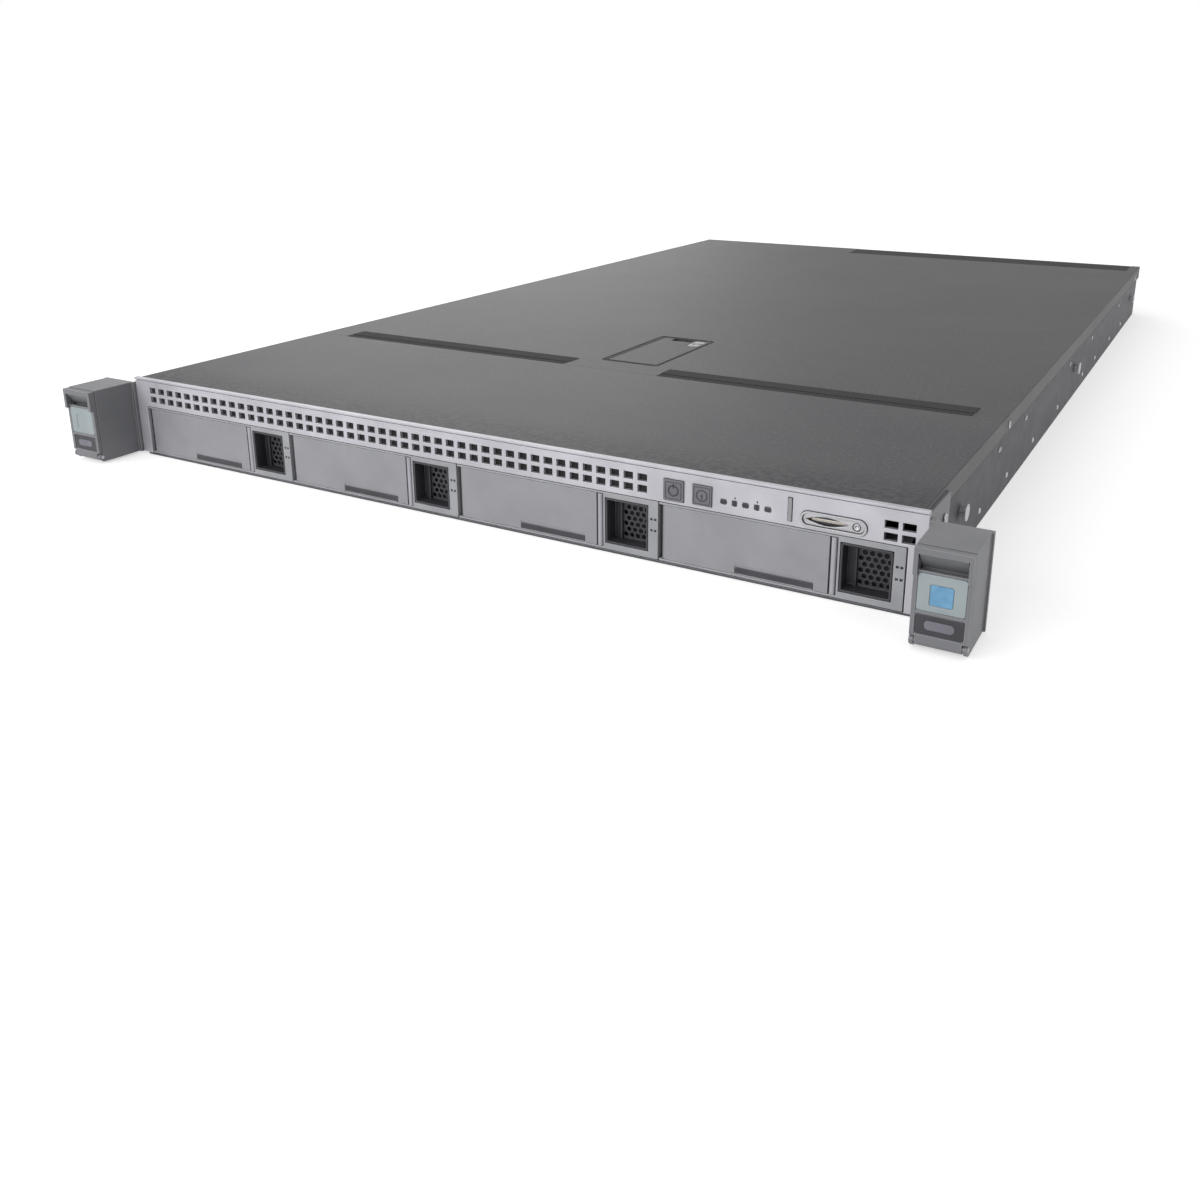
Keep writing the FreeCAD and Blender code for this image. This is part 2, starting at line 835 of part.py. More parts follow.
def fan_rotor(x):
    """Hub with pitched blades and a shaft in the housing's bearing."""
    centre_z = sheet + fan_size / 2
    start = fan_front + rotor_setback
    half_sweep = blade_chord / 2 * math.sin(math.radians(blade_pitch)) + blade_thick / 2
    tip = math.sqrt((fan_bore_radius - fan_tip_play) ** 2 - half_sweep ** 2)
    hub = rod(0, start, 0, fan_hub_radius, rotor_length, Y_AXIS)
    middle = start + rotor_length / 2
    root = math.sqrt(fan_hub_radius ** 2 - half_sweep ** 2) - blade_thick / 2
    blade = box(-blade_thick / 2, blade_thick / 2, middle - blade_chord / 2,
                middle + blade_chord / 2, root, tip)
    blade.rotate(V(0, middle, 0), Z_AXIS, blade_pitch)
    pieces = [hub]
    for index in range(blade_count):
        turned = blade.copy()
        turned.rotate(V(0, 0, 0), Y_AXIS, 360.0 * index / blade_count)
        pieces.append(turned)
    bearing_y = fan_front + fan_length - fan_bearing
    pieces.append(rod(0, start, 0, rotor_shaft_radius, bearing_y + fan_shaft_reach - start, Y_AXIS))
    rotor = join(pieces)
    rotor.translate(V(x, 0, centre_z))
    return rotor


def dimm_places():
    """Middle of each memory module, in a group on both sides of each processor."""
    places = []
    reach = sink_width / 2 + dimm_group_gap
    for x in cpu_x:
        for index in range(dimm_count):
            places.append(x + reach + dimm_pitch * index)
            places.append(x - reach - dimm_pitch * index)
    return places


def standoff(x, y):
    """Hexagonal post between the base and the main board."""
    radius = standoff_width / math.sqrt(3)
    corners = []
    for step in range(6):
        angle = math.radians(60 * step)
        corners.append(V(x + radius * math.cos(angle), y + radius * math.sin(angle), sheet))
    return Part.Face(Part.makePolygon(corners + corners[:1])).extrude(V(0, 0, board_z - sheet))


def motherboard():
    """Board on standoffs, with processor sockets and memory sockets."""
    back = rear_inside - board_back_gap
    outline = [V(-board_half, board_front, board_z), V(board_half, board_front, board_z),
               V(board_half, board_notch_front, board_z), V(board_notch_left, board_notch_front, board_z),
               V(board_notch_left, back, board_z), V(-board_half, back, board_z)]
    board = Part.Face(Part.makePolygon(outline + outline[:1])).extrude(V(0, 0, board_thick))
    pieces = [board]
    for x in (-board_half + standoff_inset, 0, board_notch_left - standoff_inset):
        for y in (board_front + standoff_inset, (board_front + back) / 2, back - standoff_rear_gap):
            pieces.append(standoff(x, y))
    for x in cpu_x:
        pieces.append(box(x - socket_width / 2, x + socket_width / 2, cpu_y - socket_length / 2,
                          cpu_y + socket_length / 2, board_top, board_top + socket_height))
    slot_half = dimm_length / 2 + dimm_slot_end
    for x in dimm_places():
        pieces.append(box(x - dimm_slot_width / 2, x + dimm_slot_width / 2, cpu_y - slot_half,
                          cpu_y + slot_half, board_top, board_top + dimm_slot_height))
    return join(pieces)


def cpu_heatsinks():
    """Finned coolers, one on each processor socket."""
    seat = board_top + socket_height
    sinks = []
    for x in cpu_x:
        left = x - sink_width / 2
        front = cpu_y - sink_length / 2
        pieces = [box(left, left + sink_width, front, front + sink_length, seat, seat + sink_base)]
        step = (sink_width - sink_fin) / (sink_fin_count - 1)
        for index in range(sink_fin_count):
            fin_x = left + step * index
            pieces.append(box(fin_x, fin_x + sink_fin, front, front + sink_length,
                              seat + sink_base, sink_top))
        sinks.append(join(pieces))
    return group(sinks)


def memory_modules():
    """Upright memory boards in their sockets."""
    modules = []
    seat = board_top + dimm_slot_height
    for x in dimm_places():
        modules.append(box(x - dimm_thick / 2, x + dimm_thick / 2, cpu_y - dimm_length / 2,
                           cpu_y + dimm_length / 2, seat, dimm_top))
    return group(modules)


def pcie_risers():
    """Upright boards that carry the card sockets."""
    risers = []
    for x in riser_x:
        board = box(x, x + board_thick, riser_front, riser_front + riser_length, board_top, riser_top)
        socket_z = board_top + riser_socket_rise
        socket = box(x - riser_socket_width, x, riser_front + riser_socket_inset,
                     riser_front + riser_length - riser_socket_inset, socket_z,
                     socket_z + riser_socket_height)
        risers.append(join([board, socket]))
    return group(risers)


def slot_blanks():
    """Cover plates behind the card windows of the rear panel."""
    blanks = []
    for x0, x1, z0, z1 in (riser_one_window, card_window, riser_two_window):
        holes = hole_grid(x0 + blank_edge, x1 - blank_edge, z0, z1, blank_hole_width, blank_hole_height,
                          blank_hole_pitch_x, blank_hole_pitch_z)
        blanks.append(upright_plate(x0 - window_overlap, x1 + window_overlap, rear_inside - sheet,
                                    rear_inside, z0 - window_overlap, z1 + window_overlap, holes))
    return group(blanks)


def rear_ports():
    """Two pairs of network jacks and a stack of two USB sockets."""
    front = chassis_depth + jack_proud - jack_depth
    back = chassis_depth + jack_proud
    solids = []
    for pair in jack_centres():
        block = box(pair[0] - jack_pitch / 2, pair[1] + jack_pitch / 2, front, back,
                    board_top, board_top + jack_height)
        mouths = []
        for x in pair:
            mouths.append(box(x - jack_mouth_width / 2, x + jack_mouth_width / 2,
                              back - jack_mouth_depth, back + 1, board_top + jack_wall,
                              board_top + jack_wall + jack_mouth_height))
        solids.append(block.cut(mouths))
    shell = box(usb_x - usb_width / 2, usb_x + usb_width / 2, front, back, board_top,
                board_top + usb_height)
    mouths = []
    tongues = []
    for level in (1, 3):
        z = board_top + usb_height * level / 4
        mouths.append(box(usb_x - usb_mouth_width / 2, usb_x + usb_mouth_width / 2,
                          back - usb_mouth_depth, back + 1, z - usb_mouth_height / 2,
                          z + usb_mouth_height / 2))
        tongue_half = usb_mouth_width / 2 - usb_tongue_inset
        tongues.append(box(usb_x - tongue_half, usb_x + tongue_half, back - usb_mouth_depth - 1,
                           back - usb_tongue_inset, z, z + usb_tongue))
    solids.append(join([shell.cut(mouths)] + tongues))
    return group(solids)


def vga_port():
    """Video socket: a D-shaped shell between two threaded posts."""
    z = board_top + vga_height / 2
    body = box(vga_x - vga_width / 2, vga_x + vga_width / 2, rear_inside - vga_depth, rear_inside,
               board_top, board_top + vga_height)
    top = vga_shell_width / 2
    low = top - vga_shell_taper
    half = vga_shell_height / 2
    corners = [V(vga_x - low, rear_inside, z - half), V(vga_x + low, rear_inside, z - half),
               V(vga_x + top, rear_inside, z + half), V(vga_x - top, rear_inside, z + half),
               V(vga_x - low, rear_inside, z - half)]
    shell = Part.Face(Part.makePolygon(corners)).extrude(V(0, sheet + vga_shell_proud, 0))
    return join([body, shell])


def ear_bracket():
    """Right rack ear: side plate with a joggle round the bezel, flange, housing and pawl ledges."""
    side_front = bezel_thick + panel_gap
    neck_right = ear_neck + ear_sheet
    side = box(ear_in, ear_in + ear_sheet, side_front, ear_side_back, ear_bottom, ear_top)
    joggle = box(ear_in, neck_right, side_front, side_front + ear_sheet, ear_bottom, ear_top)
    neck = box(ear_neck, neck_right, -ear_sheet, side_front + ear_sheet, ear_bottom, ear_top)
    pad = box(wall_out, ear_in, side_front + ear_sheet, ear_side_back - ear_sheet,
              ear_bottom + ear_pad_inset, roof_under - skirt_height - 1)
    flange = box(ear_neck, ear_out, -ear_sheet, 0, ear_bottom, ear_top)
    roof = box(ear_body_in, ear_body_out, -ear_wall_front, 0, ear_top - ear_roof, ear_top)
    floor = box(ear_body_in, ear_body_out, -ear_floor_front, 0, ear_bottom, ear_bottom + ear_roof)
    walls = []
    for x in (ear_body_in, ear_body_out - ear_sheet):
        walls.append(box(x, x + ear_sheet, -ear_wall_front, 0, ear_bottom, ear_top))
        walls.append(rod(x, slam_pivot_y, slam_pivot_z, slam_plate, ear_sheet, X_AXIS))
        walls.append(box(x, x + ear_sheet, slam_pivot_y, -ear_wall_front + 1, slam_pivot_z - slam_plate,
                         slam_pivot_z + slam_plate))
    ledges = []
    for z in (pawl_bottom - pawl_play - ledge_thick, pawl_bottom + pawl_height + pawl_play):
        ledges.append(box(ear_body_in, pawl_x + ledge_reach, ledge_front, -ear_sheet, z, z + ledge_thick))
    bracket = join([side, joggle, neck, pad, flange, roof, floor] + ledges + walls)
    pin_hole = rod(ear_body_in - 1, slam_pivot_y, slam_pivot_z, slam_pin_radius + pin_play,
                   ear_body_out - ear_body_in + 2, X_AXIS)
    rack_hole = rod(rack_hole_spacing / 2, -ear_sheet - 1, rack_hole_z, rack_hole_radius,
                    ear_sheet + 2, Y_AXIS)
    slot_half = pawl_arm / 2 + pawl_hook + pawl_play
    slot = box(pawl_x - slot_half, pawl_x + slot_half, -ear_sheet - 1, 1, pawl_bottom - pawl_play,
               pawl_bottom + pawl_height + pawl_play)
    reach = pawl_play + ledge_thick + 1
    pivot = rod(pawl_x, pawl_y, pawl_bottom - reach, pawl_pin_radius + pin_play,
                pawl_height + 2 * reach, Z_AXIS)
    return bracket.cut([pin_hole, rack_hole, slot, pivot])


def lever_pins():
    """Hinge pins of the two slam levers."""
    pin = rod(ear_body_in, slam_pivot_y, slam_pivot_z, slam_pin_radius, ear_body_out - ear_body_in, X_AXIS)
    return group([mirrored(pin), pin])


def slam_scoop(left, right):
    """Finger scoop under the lever's brow: a sloping wall that runs back from the top edge."""
    wall = slam_scoop_wall
    outline = [(-ear_reach, slam_top), (-ear_reach, slam_brow), (-slam_scoop_back - wall, slam_scoop_bottom),
               (-slam_scoop_back - wall, slam_scoop_bottom - wall), (-slam_face, slam_scoop_bottom - wall),
               (-slam_face, slam_scoop_bottom - 2 * wall), (-slam_scoop_back, slam_scoop_bottom - 2 * wall),
               (-slam_scoop_back, slam_scoop_bottom), (slam_pivot_y, slam_brow), (slam_pivot_y, slam_top)]
    corners = [V(left, y, z) for y, z in outline]
    face = Part.Face(Part.makePolygon(corners + corners[:1]))
    return face.extrude(V(right - left, 0, 0))


def slam_lever():
    """Right slam lever: front plate, scooped brow to pull, cheeks and a hinge barrel."""
    left = ear_body_in
    right = ear_body_out
    inner_left = left + ear_sheet + slam_side_play
    inner_right = right - ear_sheet - slam_side_play
    plate = box(left, right, -slam_face, slam_pivot_y, slam_plate_bottom, slam_scoop_bottom)
    foot = box(inner_left, inner_right, -slam_face, slam_pivot_y, slam_pivot_z, slam_plate_bottom)
    barrel = rod(inner_left, slam_pivot_y, slam_pivot_z, slam_plate, inner_right - inner_left, X_AXIS)
    brow = box(left, right, -ear_reach, slam_pivot_y, slam_brow, slam_top)
    ends = []
    for x in (left, right - slam_side):
        ends.append(box(x, x + slam_side, -ear_reach, slam_pivot_y, slam_scoop_bottom - slam_side, slam_top))
    cheeks = []
    for x in (inner_left, inner_right - slam_cheek):
        cheeks.append(box(x, x + slam_cheek, slam_pivot_y - slam_cheek_lap, slam_pivot_y + slam_cheek_depth,
                          slam_pivot_z, slam_cheek_top))
    scoop = slam_scoop(inner_left, inner_right)
    lever = join([plate, foot, barrel, brow, scoop] + ends + cheeks)
    badges = []
    for low, high in (badge_upper, badge_lower):
        badges.append(box(left + badge_inset_x, right - badge_inset_x, -slam_face - 1,
                          -slam_face + badge_depth, low, high))
    bore = rod(left, slam_pivot_y, slam_pivot_z, slam_pin_radius + pin_play, right - left, X_AXIS)
    return lever.cut(badges + [bore])


def latch_pawl():
    """Right rack hook: a hub with trunnions, an arm through the flange and a hook."""
    hub = rod(pawl_x, pawl_y, pawl_bottom, pawl_hub_radius, pawl_height, Z_AXIS)
    half = pawl_arm / 2
    arm = box(pawl_x - half, pawl_x + half, pawl_y, pawl_reach, pawl_bottom, pawl_bottom + pawl_height)
    hook = box(pawl_x, pawl_x + half + pawl_hook, pawl_reach - pawl_arm, pawl_reach, pawl_bottom,
               pawl_bottom + pawl_height)
    tail_half = pawl_tail_thick / 2
    tail = box(pawl_x - tail_half, pawl_x + tail_half, pawl_y - pawl_tail, pawl_y,
               pawl_bottom + pawl_tail_inset, pawl_bottom + pawl_height - pawl_tail_inset)
    reach = pawl_play + ledge_thick
    trunnion = rod(pawl_x, pawl_y, pawl_bottom - reach, pawl_pin_radius, pawl_height + 2 * reach, Z_AXIS)
    return join([hub, arm, hook, tail, trunnion])


def rail_pegs():
    """Headed pegs on the side walls that hang in the slide rails."""
    pegs = []
    for y in peg_rows:
        shaft = rod(wall_out, y, peg_z, peg_radius, peg_length, X_AXIS)
        head = rod(wall_out + peg_length, y, peg_z, peg_head_radius, peg_head, X_AXIS)
        peg = join([shaft, head])
        pegs += [peg, mirrored(peg)]
    return group(pegs)


def kvm_connector():
    """Console connector: a round-ended shell with a tongue inside."""
    shell = stadium(kvm_x, kvm_z, kvm_width, kvm_height, -kvm_proud, kvm_depth)
    flange = stadium(kvm_x, kvm_z, kvm_width + 2 * kvm_flange, kvm_height + kvm_flange,
                     bezel_thick, bezel_thick + kvm_flange_thick)
    mouth = stadium(kvm_x, kvm_z, kvm_width - 2 * kvm_wall, kvm_height - 2 * kvm_wall,
                    -kvm_proud - 1, kvm_mouth_depth)
    tongue = box(kvm_x - kvm_tongue_width / 2, kvm_x + kvm_tongue_width / 2, kvm_tongue_setback,
                 kvm_mouth_depth + 1, kvm_z - kvm_tongue_thick / 2, kvm_z + kvm_tongue_thick / 2)
    return join([join([shell, flange]).cut(mouth), tongue])


def status_lights():
    """Light pipes that stand on the front board and end flush in the bezel."""
    half = light_size / 2
    return group([box(x - half, x + half, 0, front_board_y, light_z - half, light_z + half)
                  for x in light_centres()])


def front_panel_board():
    """Board behind the controls with two push switches."""
    left = power_button_x - power_button_size - front_board_margin / 2
    right = light_centres()[-1] + front_board_margin
    board = box(left, right, front_board_y, front_board_y + board_thick, cage_ceiling + 2 * sheet,
                roof_under - 2 * sheet)
    pieces = [board]
    half = switch_size / 2
    for x in (power_button_x, id_button_x):
        pieces.append(box(x - half, x + half, front_board_y - switch_thick, front_board_y,
                          button_z - half, button_z + half))
    return join(pieces)


# ================================================================ moving pieces
def push_button(x, size):
    """Square cap through the bezel, with a rim behind it and a stem to its switch."""
    half = size / 2
    back = bezel_thick + button_play
    cap = box(x - half, x + half, -button_proud, back, button_z - half, button_z + half)
    wide = half + button_rim
    rim = box(x - wide, x + wide, back, back + sheet, button_z - wide, button_z + wide)
    stem_length = front_board_y - switch_thick - button_travel - button_play - back
    stem = rod(x, back, button_z, button_stem_radius, stem_length, Y_AXIS)
    return join([cap, rim, stem])


def rear_id_button():
    """Round button in the rear panel with a rim inside."""
    front = rear_inside - rear_button_depth
    head = rod(rear_button_x, front, rear_button_z, rear_button_radius,
               rear_button_depth + sheet + rear_button_proud, Y_AXIS)
    rim = rod(rear_button_x, front, rear_button_z, rear_button_radius + rear_button_rim,
              rear_button_depth - button_play, Y_AXIS)
    return join([head, rim])


def asset_tag():
    """Flat card in a sleeve, with a wider end that stops it at full travel."""
    half = tag_thick / 2
    tall = tag_height / 2
    end = bezel_thick + tag_sleeve + tag_travel + 1 + tag_stop
    card = box(tag_x - half, tag_x + half, -tag_proud, end, tag_z - tall, tag_z + tall)
    tall += tag_stop_height
    stop = box(tag_x - half, tag_x + half, end - tag_stop, end, tag_z - tall, tag_z + tall)
    return join([card, stop])


def carrier(bay):
    """Drive carrier: framed front with a lever pocket and a finger recess, and two rails."""
    u = bay_left(bay)
    z0 = carrier_z
    z1 = carrier_z + carrier_front_height
    depth = carrier_front_depth
    front = box(u + carrier_edge, u + bay_pitch - carrier_edge, 0, depth, z0, z1)
    low = z0 + frame_lip
    high = z1 - frame_lip
    pocket_depth = 2 * lever_hub_radius + 2 * lever_play
    pocket_right = lever_end_u + panel_gap
    release_right = release_left_u() + release_width + lever_play
    recess_left = release_right + recess_wall
    cuts = [box(u - 1, u + pocket_right, -1, pocket_depth, low, high)]
    release_back = release_depth + release_travel + release_play
    cuts.append(box(u + pocket_right - 0.1, u + release_right, -1, release_back, low, high))
    cuts.append(box(u + recess_left, u + recess_left + recess_width, -1, depth - mesh_thick,
                    recess_z - recess_height / 2, recess_z + recess_height / 2))
    cuts.append(box(u + lever_pivot_u, u + pocket_right - pocket_wall, pocket_depth + pocket_wall,
                    depth + 1, low + 1, high - 1))
    cuts.append(rod(u + lever_pivot_u, lever_hub_y, z0 - 1, lever_pin_radius + pin_play,
                    carrier_front_height + 2, Z_AXIS))
    for window in hole_grid(u + recess_left, u + recess_left + recess_width,
                            recess_z - recess_height / 2, recess_z + recess_height / 2,
                            mesh_hole, mesh_hole, mesh_pitch, mesh_pitch):
        cuts.append(box(window[0], window[1], depth - mesh_thick - 0.5, depth + 1, window[2], window[3]))
    led_left = u + recess_left + recess_width
    for x in (led_left + led_column / 3, led_left + led_column * 2 / 3 + led_dot / 4):
        for rise in led_dot_rise:
            z = carrier_z + rise
            cuts.append(box(x - led_dot / 2, x + led_dot / 2, -1, led_dot_depth, z - led_dot / 2,
                            z + led_dot / 2))
    rails = []
    rail_left = u + (bay_pitch - disk_width) / 2 - rail_thick
    for x in (rail_left, rail_left + rail_thick + disk_width):
        rail = box(x, x + rail_thick, depth - 2 * rail_thick, disk_back, z0, z1)
        windows = []
        span = (disk_back - depth) / rail_window_count
        for index in range(rail_window_count):
            start = depth + span * (index + 0.25)
            windows.append(box(x - 1, x + rail_thick + 1, start, start + span / 2, z0 + rail_window_inset,
                               z1 - rail_window_inset))
        rails.append(rail.cut(windows))
    return join([front] + rails).cut(cuts)


def ejector_lever(bay):
    """Wide front lever that turns on an upright pin at its left end."""
    u = bay_left(bay)
    z0 = carrier_z + frame_lip + lever_play
    z1 = carrier_z + carrier_front_height - frame_lip - lever_play
    pivot_x = u + lever_pivot_u
    hub = rod(pivot_x, lever_hub_y, z0, lever_hub_radius, z1 - z0, Z_AXIS)
    plate = box(pivot_x, u + lever_end_u, 0, lever_plate, z0, z1)
    lip = box(u + lever_end_u - lever_lip_width, u + lever_end_u, 0, lever_lip_depth, z0, z1)
    ribs = []
    for share in (0.0, 0.5, 1.0):
        z = z0 + (z1 - z0 - lever_rib) * share
        ribs.append(box(pivot_x, u + lever_end_u, lever_plate / 2, lever_rib_depth, z, z + lever_rib))
    pin = rod(pivot_x, lever_hub_y, carrier_z + lever_play, lever_pin_radius,
              carrier_front_height - 2 * lever_play, Z_AXIS)
    label = box(u + label_left_u, u + label_right_u, -1, label_depth, z0 + label_depth,
                z0 + label_depth + label_height)
    return join([hub, plate, lip, pin] + ribs).cut(label)


def release_button(bay):
    """Narrow upright button beside the lever, with rounded front edges."""
    x0 = bay_left(bay) + release_left_u()
    z0 = carrier_z + frame_lip + release_play
    z1 = carrier_z + carrier_front_height - frame_lip - release_play
    button = box(x0, x0 + release_width - release_play, -release_proud, release_depth, z0, z1)
    edges = [edge for edge in button.Edges
             if edge.BoundBox.ZLength > 1 and abs(edge.BoundBox.YMin + release_proud) < 0.01]
    return button.makeFillet(release_round, edges)


def disk(bay):
    """Hard disk between the carrier's rails: casting with a stepped lid and a rear plug."""
    x0 = bay_left(bay) + (bay_pitch - disk_width) / 2
    x1 = x0 + disk_width
    top = carrier_z + disk_height
    casting = box(x0, x1, disk_front, disk_back, carrier_z, top)
    margin = disk_lid_margin
    lid_cut = box(x0 - 1, x1 + 1, disk_front - 1, disk_back + 1, top - disk_lid_step, top + 1)
    lid = box(x0 + margin, x1 - margin, disk_front + margin, disk_back - 2 * disk_plug_depth,
              top - disk_lid_step, top + 1)
    plug = box(x0 + disk_plug_inset, x0 + disk_plug_inset + disk_plug_width,
               disk_back - disk_plug_depth, disk_back + 1, carrier_z - 1, carrier_z + disk_plug_height)
    return casting.cut([lid_cut.cut(lid), plug])


def top_cover():
    """Sliding cover: plate with a latch pan, front notches, a sunk rear strip and skirts."""
    front = front_panel_back + panel_gap
    pan_window = (latch_left - latch_gap, latch_right + latch_gap, latch_front - latch_gap,
                  latch_back + latch_gap)
    sunk = (sunk_left, sunk_right, sunk_front, chassis_depth + 1)
    plate = flat_plate(-half_width, half_width, front, chassis_depth, roof_under, chassis_height,
                       [pan_window])
    cuts = [box(sunk[0], sunk[1], sunk[2], sunk[3], roof_under - 1, chassis_height + 1)]
    for x0, x1 in ((-half_width + strip_notch_margin_left, -strip_notch_inner),
                   (strip_notch_inner, half_width - strip_notch_margin_right)):
        cuts.append(box(x0, x1, front - 1, front + strip_notch_depth, roof_under - 1, chassis_height + 1))
    plate = plate.cut(cuts)
    sunk_plate = box(sunk_left - sheet, sunk_right + sheet, sunk_front - sheet, chassis_depth,
                     roof_under - sunk_depth, roof_under)
    skirt = box(half_width - sheet, half_width, front, chassis_depth, roof_under - skirt_height, roof_under)
    hooks = []
    for y in hook_rows():
        hooks.append(box(wall_in - hook_inner_reach, half_width - sheet, y, y + hook_length, hook_z,
                         hook_z + hook_height))
    sides = []
    for piece in [skirt] + hooks:
        sides += [piece, mirrored(piece)]
    return join([plate, sunk_plate, latch_pan(pan_window)] + sides)


def latch_pan(window):
    """Shallow pan under the latch, with holes for its trunnions."""
    x0, x1, y0, y1 = window
    floor_z = roof_under - pan_depth + sheet
    outer = box(x0 - pan_sheet, x1 + pan_sheet, y0 - pan_sheet, y1 + pan_sheet, floor_z - pan_sheet,
                roof_under)
    inner = box(x0, x1, y0, y1, floor_z, roof_under + 1)
    trunnions = rod(x0 - 2, latch_pivot_y, latch_pivot_z, latch_pin_radius + pin_play, x1 - x0 + 4, X_AXIS)
    return outer.cut([inner, trunnions])


def cover_latch():
    """Flat lift-up handle with a round front hub, side lips and a pad for the lock."""
    top = latch_top
    plate = box(latch_left, latch_right, latch_pivot_y, latch_back, top - latch_plate, top)
    hub = rod(latch_left, latch_pivot_y, latch_pivot_z, latch_hub_radius, latch_right - latch_left, X_AXIS)
    sides = []
    for x in (latch_left, latch_right - sheet):
        sides.append(box(x, x + sheet, latch_pivot_y, latch_back - finger_notch_depth,
                         top - latch_side_depth, top))
    boss_half = lock_radius - sheet / 2
    boss = box(lock_x - boss_half, latch_right, lock_y - boss_half, lock_y + boss_half,
               top - latch_side_depth, top)
    pin_reach = latch_gap + pan_sheet
    pin = rod(latch_left - pin_reach, latch_pivot_y, latch_pivot_z, latch_pin_radius,
              latch_right - latch_left + 2 * pin_reach, X_AXIS)
    body = join([plate, hub, boss, pin] + sides)
    pad = box(lock_x - lock_pad_width / 2, lock_x + lock_pad_width / 2, lock_y - lock_pad_length / 2,
              lock_y + lock_pad_length / 2, top - lock_pad_depth, top + 1)
    notch_right = lock_x - lock_pad_width / 2 - sheet
    notch = box(notch_right - finger_notch, notch_right, latch_back - finger_notch_depth, latch_back + 1,
                top - latch_side_depth - 1, top + 1)
    bore = rod(lock_x, lock_y, top - latch_side_depth - 1, lock_stem_radius + pin_play,
               latch_side_depth + 2, Z_AXIS)
    return body.cut([pad, notch, bore])


def latch_lock():
    """Quarter-turn fastener of the latch: slotted head on a stem."""
    seat = latch_top - lock_pad_depth
    stem_bottom = latch_top - latch_side_depth - lock_pad_depth
    head = rod(lock_x, lock_y, seat, lock_radius, lock_pad_depth, Z_AXIS)
    stem = rod(lock_x, lock_y, stem_bottom, lock_stem_radius, latch_top - stem_bottom, Z_AXIS)
    slot = box(lock_x - lock_radius, lock_x + lock_radius, lock_y - lock_slot / 2,
               lock_y + lock_slot / 2, latch_top - lock_slot_depth, latch_top + 1)
    return join([head, stem]).cut(slot)


def inlet_outline(left, y):
    """Six-sided outline of the power inlet, narrower at the top."""
    x1 = left + inlet_width
    z0 = inlet_bottom
    z1 = inlet_bottom + inlet_height
    corner = inlet_corner
    corners = [V(left, y, z0), V(x1, y, z0), V(x1, y, z1 - corner), V(x1 - corner, y, z1),
               V(left + corner, y, z1), V(left, y, z1 - corner), V(left, y, z0)]
    return Part.Face(Part.makePolygon(corners))


def psu_case(index):
    """Power supply case with an inlet, an air grille and a pocket for the latch leaf."""
    x0 = psu_left(index)
    x1 = x0 + psu_width
    z1 = psu_z + psu_height
    case = box(x0, x1, chassis_depth - psu_length, chassis_depth, psu_z, z1)
    inlet_x = x0 + inlet_left
    rim = box(inlet_x - inlet_rim, inlet_x + inlet_width + inlet_rim, chassis_depth - 1,
              chassis_depth + inlet_rim_proud, inlet_bottom - inlet_rim,
              inlet_bottom + inlet_height + inlet_rim)
    mouth = inlet_outline(inlet_x, chassis_depth - inlet_depth).extrude(V(0, inlet_depth + 5, 0))
    cuts = [mouth]
    for hole in hole_grid(x0 + grille_left, x1 - psu_latch_pocket - grille_depth, psu_z + grille_depth,
                          z1 - grille_depth, grille_hole, grille_hole, grille_pitch, grille_pitch):
        cuts.append(box(hole[0], hole[1], chassis_depth - grille_depth, chassis_depth + 1,
                        hole[2], hole[3]))
    half = psu_latch_height / 2 + psu_latch_play
    cuts.append(box(x1 - psu_latch_pocket, x1 + 1, chassis_depth - psu_latch_pocket_front,
                    chassis_depth + 1, psu_latch_centre_z - half, psu_latch_centre_z + half))
    pivot_x, pivot_y = psu_latch_pivot(index)
    cuts.append(rod(pivot_x, pivot_y, psu_latch_centre_z - half - 2, psu_latch_pin_radius + pin_play,
                    2 * half + 4, Z_AXIS))
    prongs = []
    middle = inlet_x + inlet_width / 2
    prong_base = chassis_depth - inlet_depth - 1
    for offset, rise in ((-prong_spacing, -prong_drop), (prong_spacing, -prong_drop), (0, prong_drop)):
        x = middle + offset
        level = inlet_bottom + inlet_height / 2 + rise
        prongs.append(box(x - prong_thick / 2, x + prong_thick / 2, prong_base,
                          prong_base + prong_length, level - prong_width / 2, level + prong_width / 2))
    return join([join([case, rim]).cut(cuts)] + prongs)


def psu_latch_pivot(index):
    """Upright axis of a power supply's latch leaf."""
    x = psu_left(index) + psu_width - psu_latch_inset
    y = chassis_depth - psu_latch_pocket_front + psu_latch_hub_radius + psu_latch_play
    return x, y


def psu_handle(index):
    """Fixed loop handle beside the inlet."""
    x0 = psu_left(index) + psu_handle_x
    x1 = x0 + psu_handle_width
    y0 = chassis_depth
    y1 = chassis_depth + psu_handle_reach
    outer = box(x0, x1, y0, y1, psu_handle_bottom, psu_handle_top)
    corners = [edge for edge in outer.Edges
               if edge.BoundBox.XLength > 1 and abs(edge.BoundBox.YMax - y1) < 0.01
               and edge.BoundBox.ZLength < 0.01]
    outer = outer.makeFillet(psu_handle_bar, corners)
    inner = box(x0 - 1, x1 + 1, y0 - 1, y1 - psu_handle_bar, psu_handle_bottom + psu_handle_bar,
                psu_handle_top - psu_handle_bar)
    return outer.cut(inner)


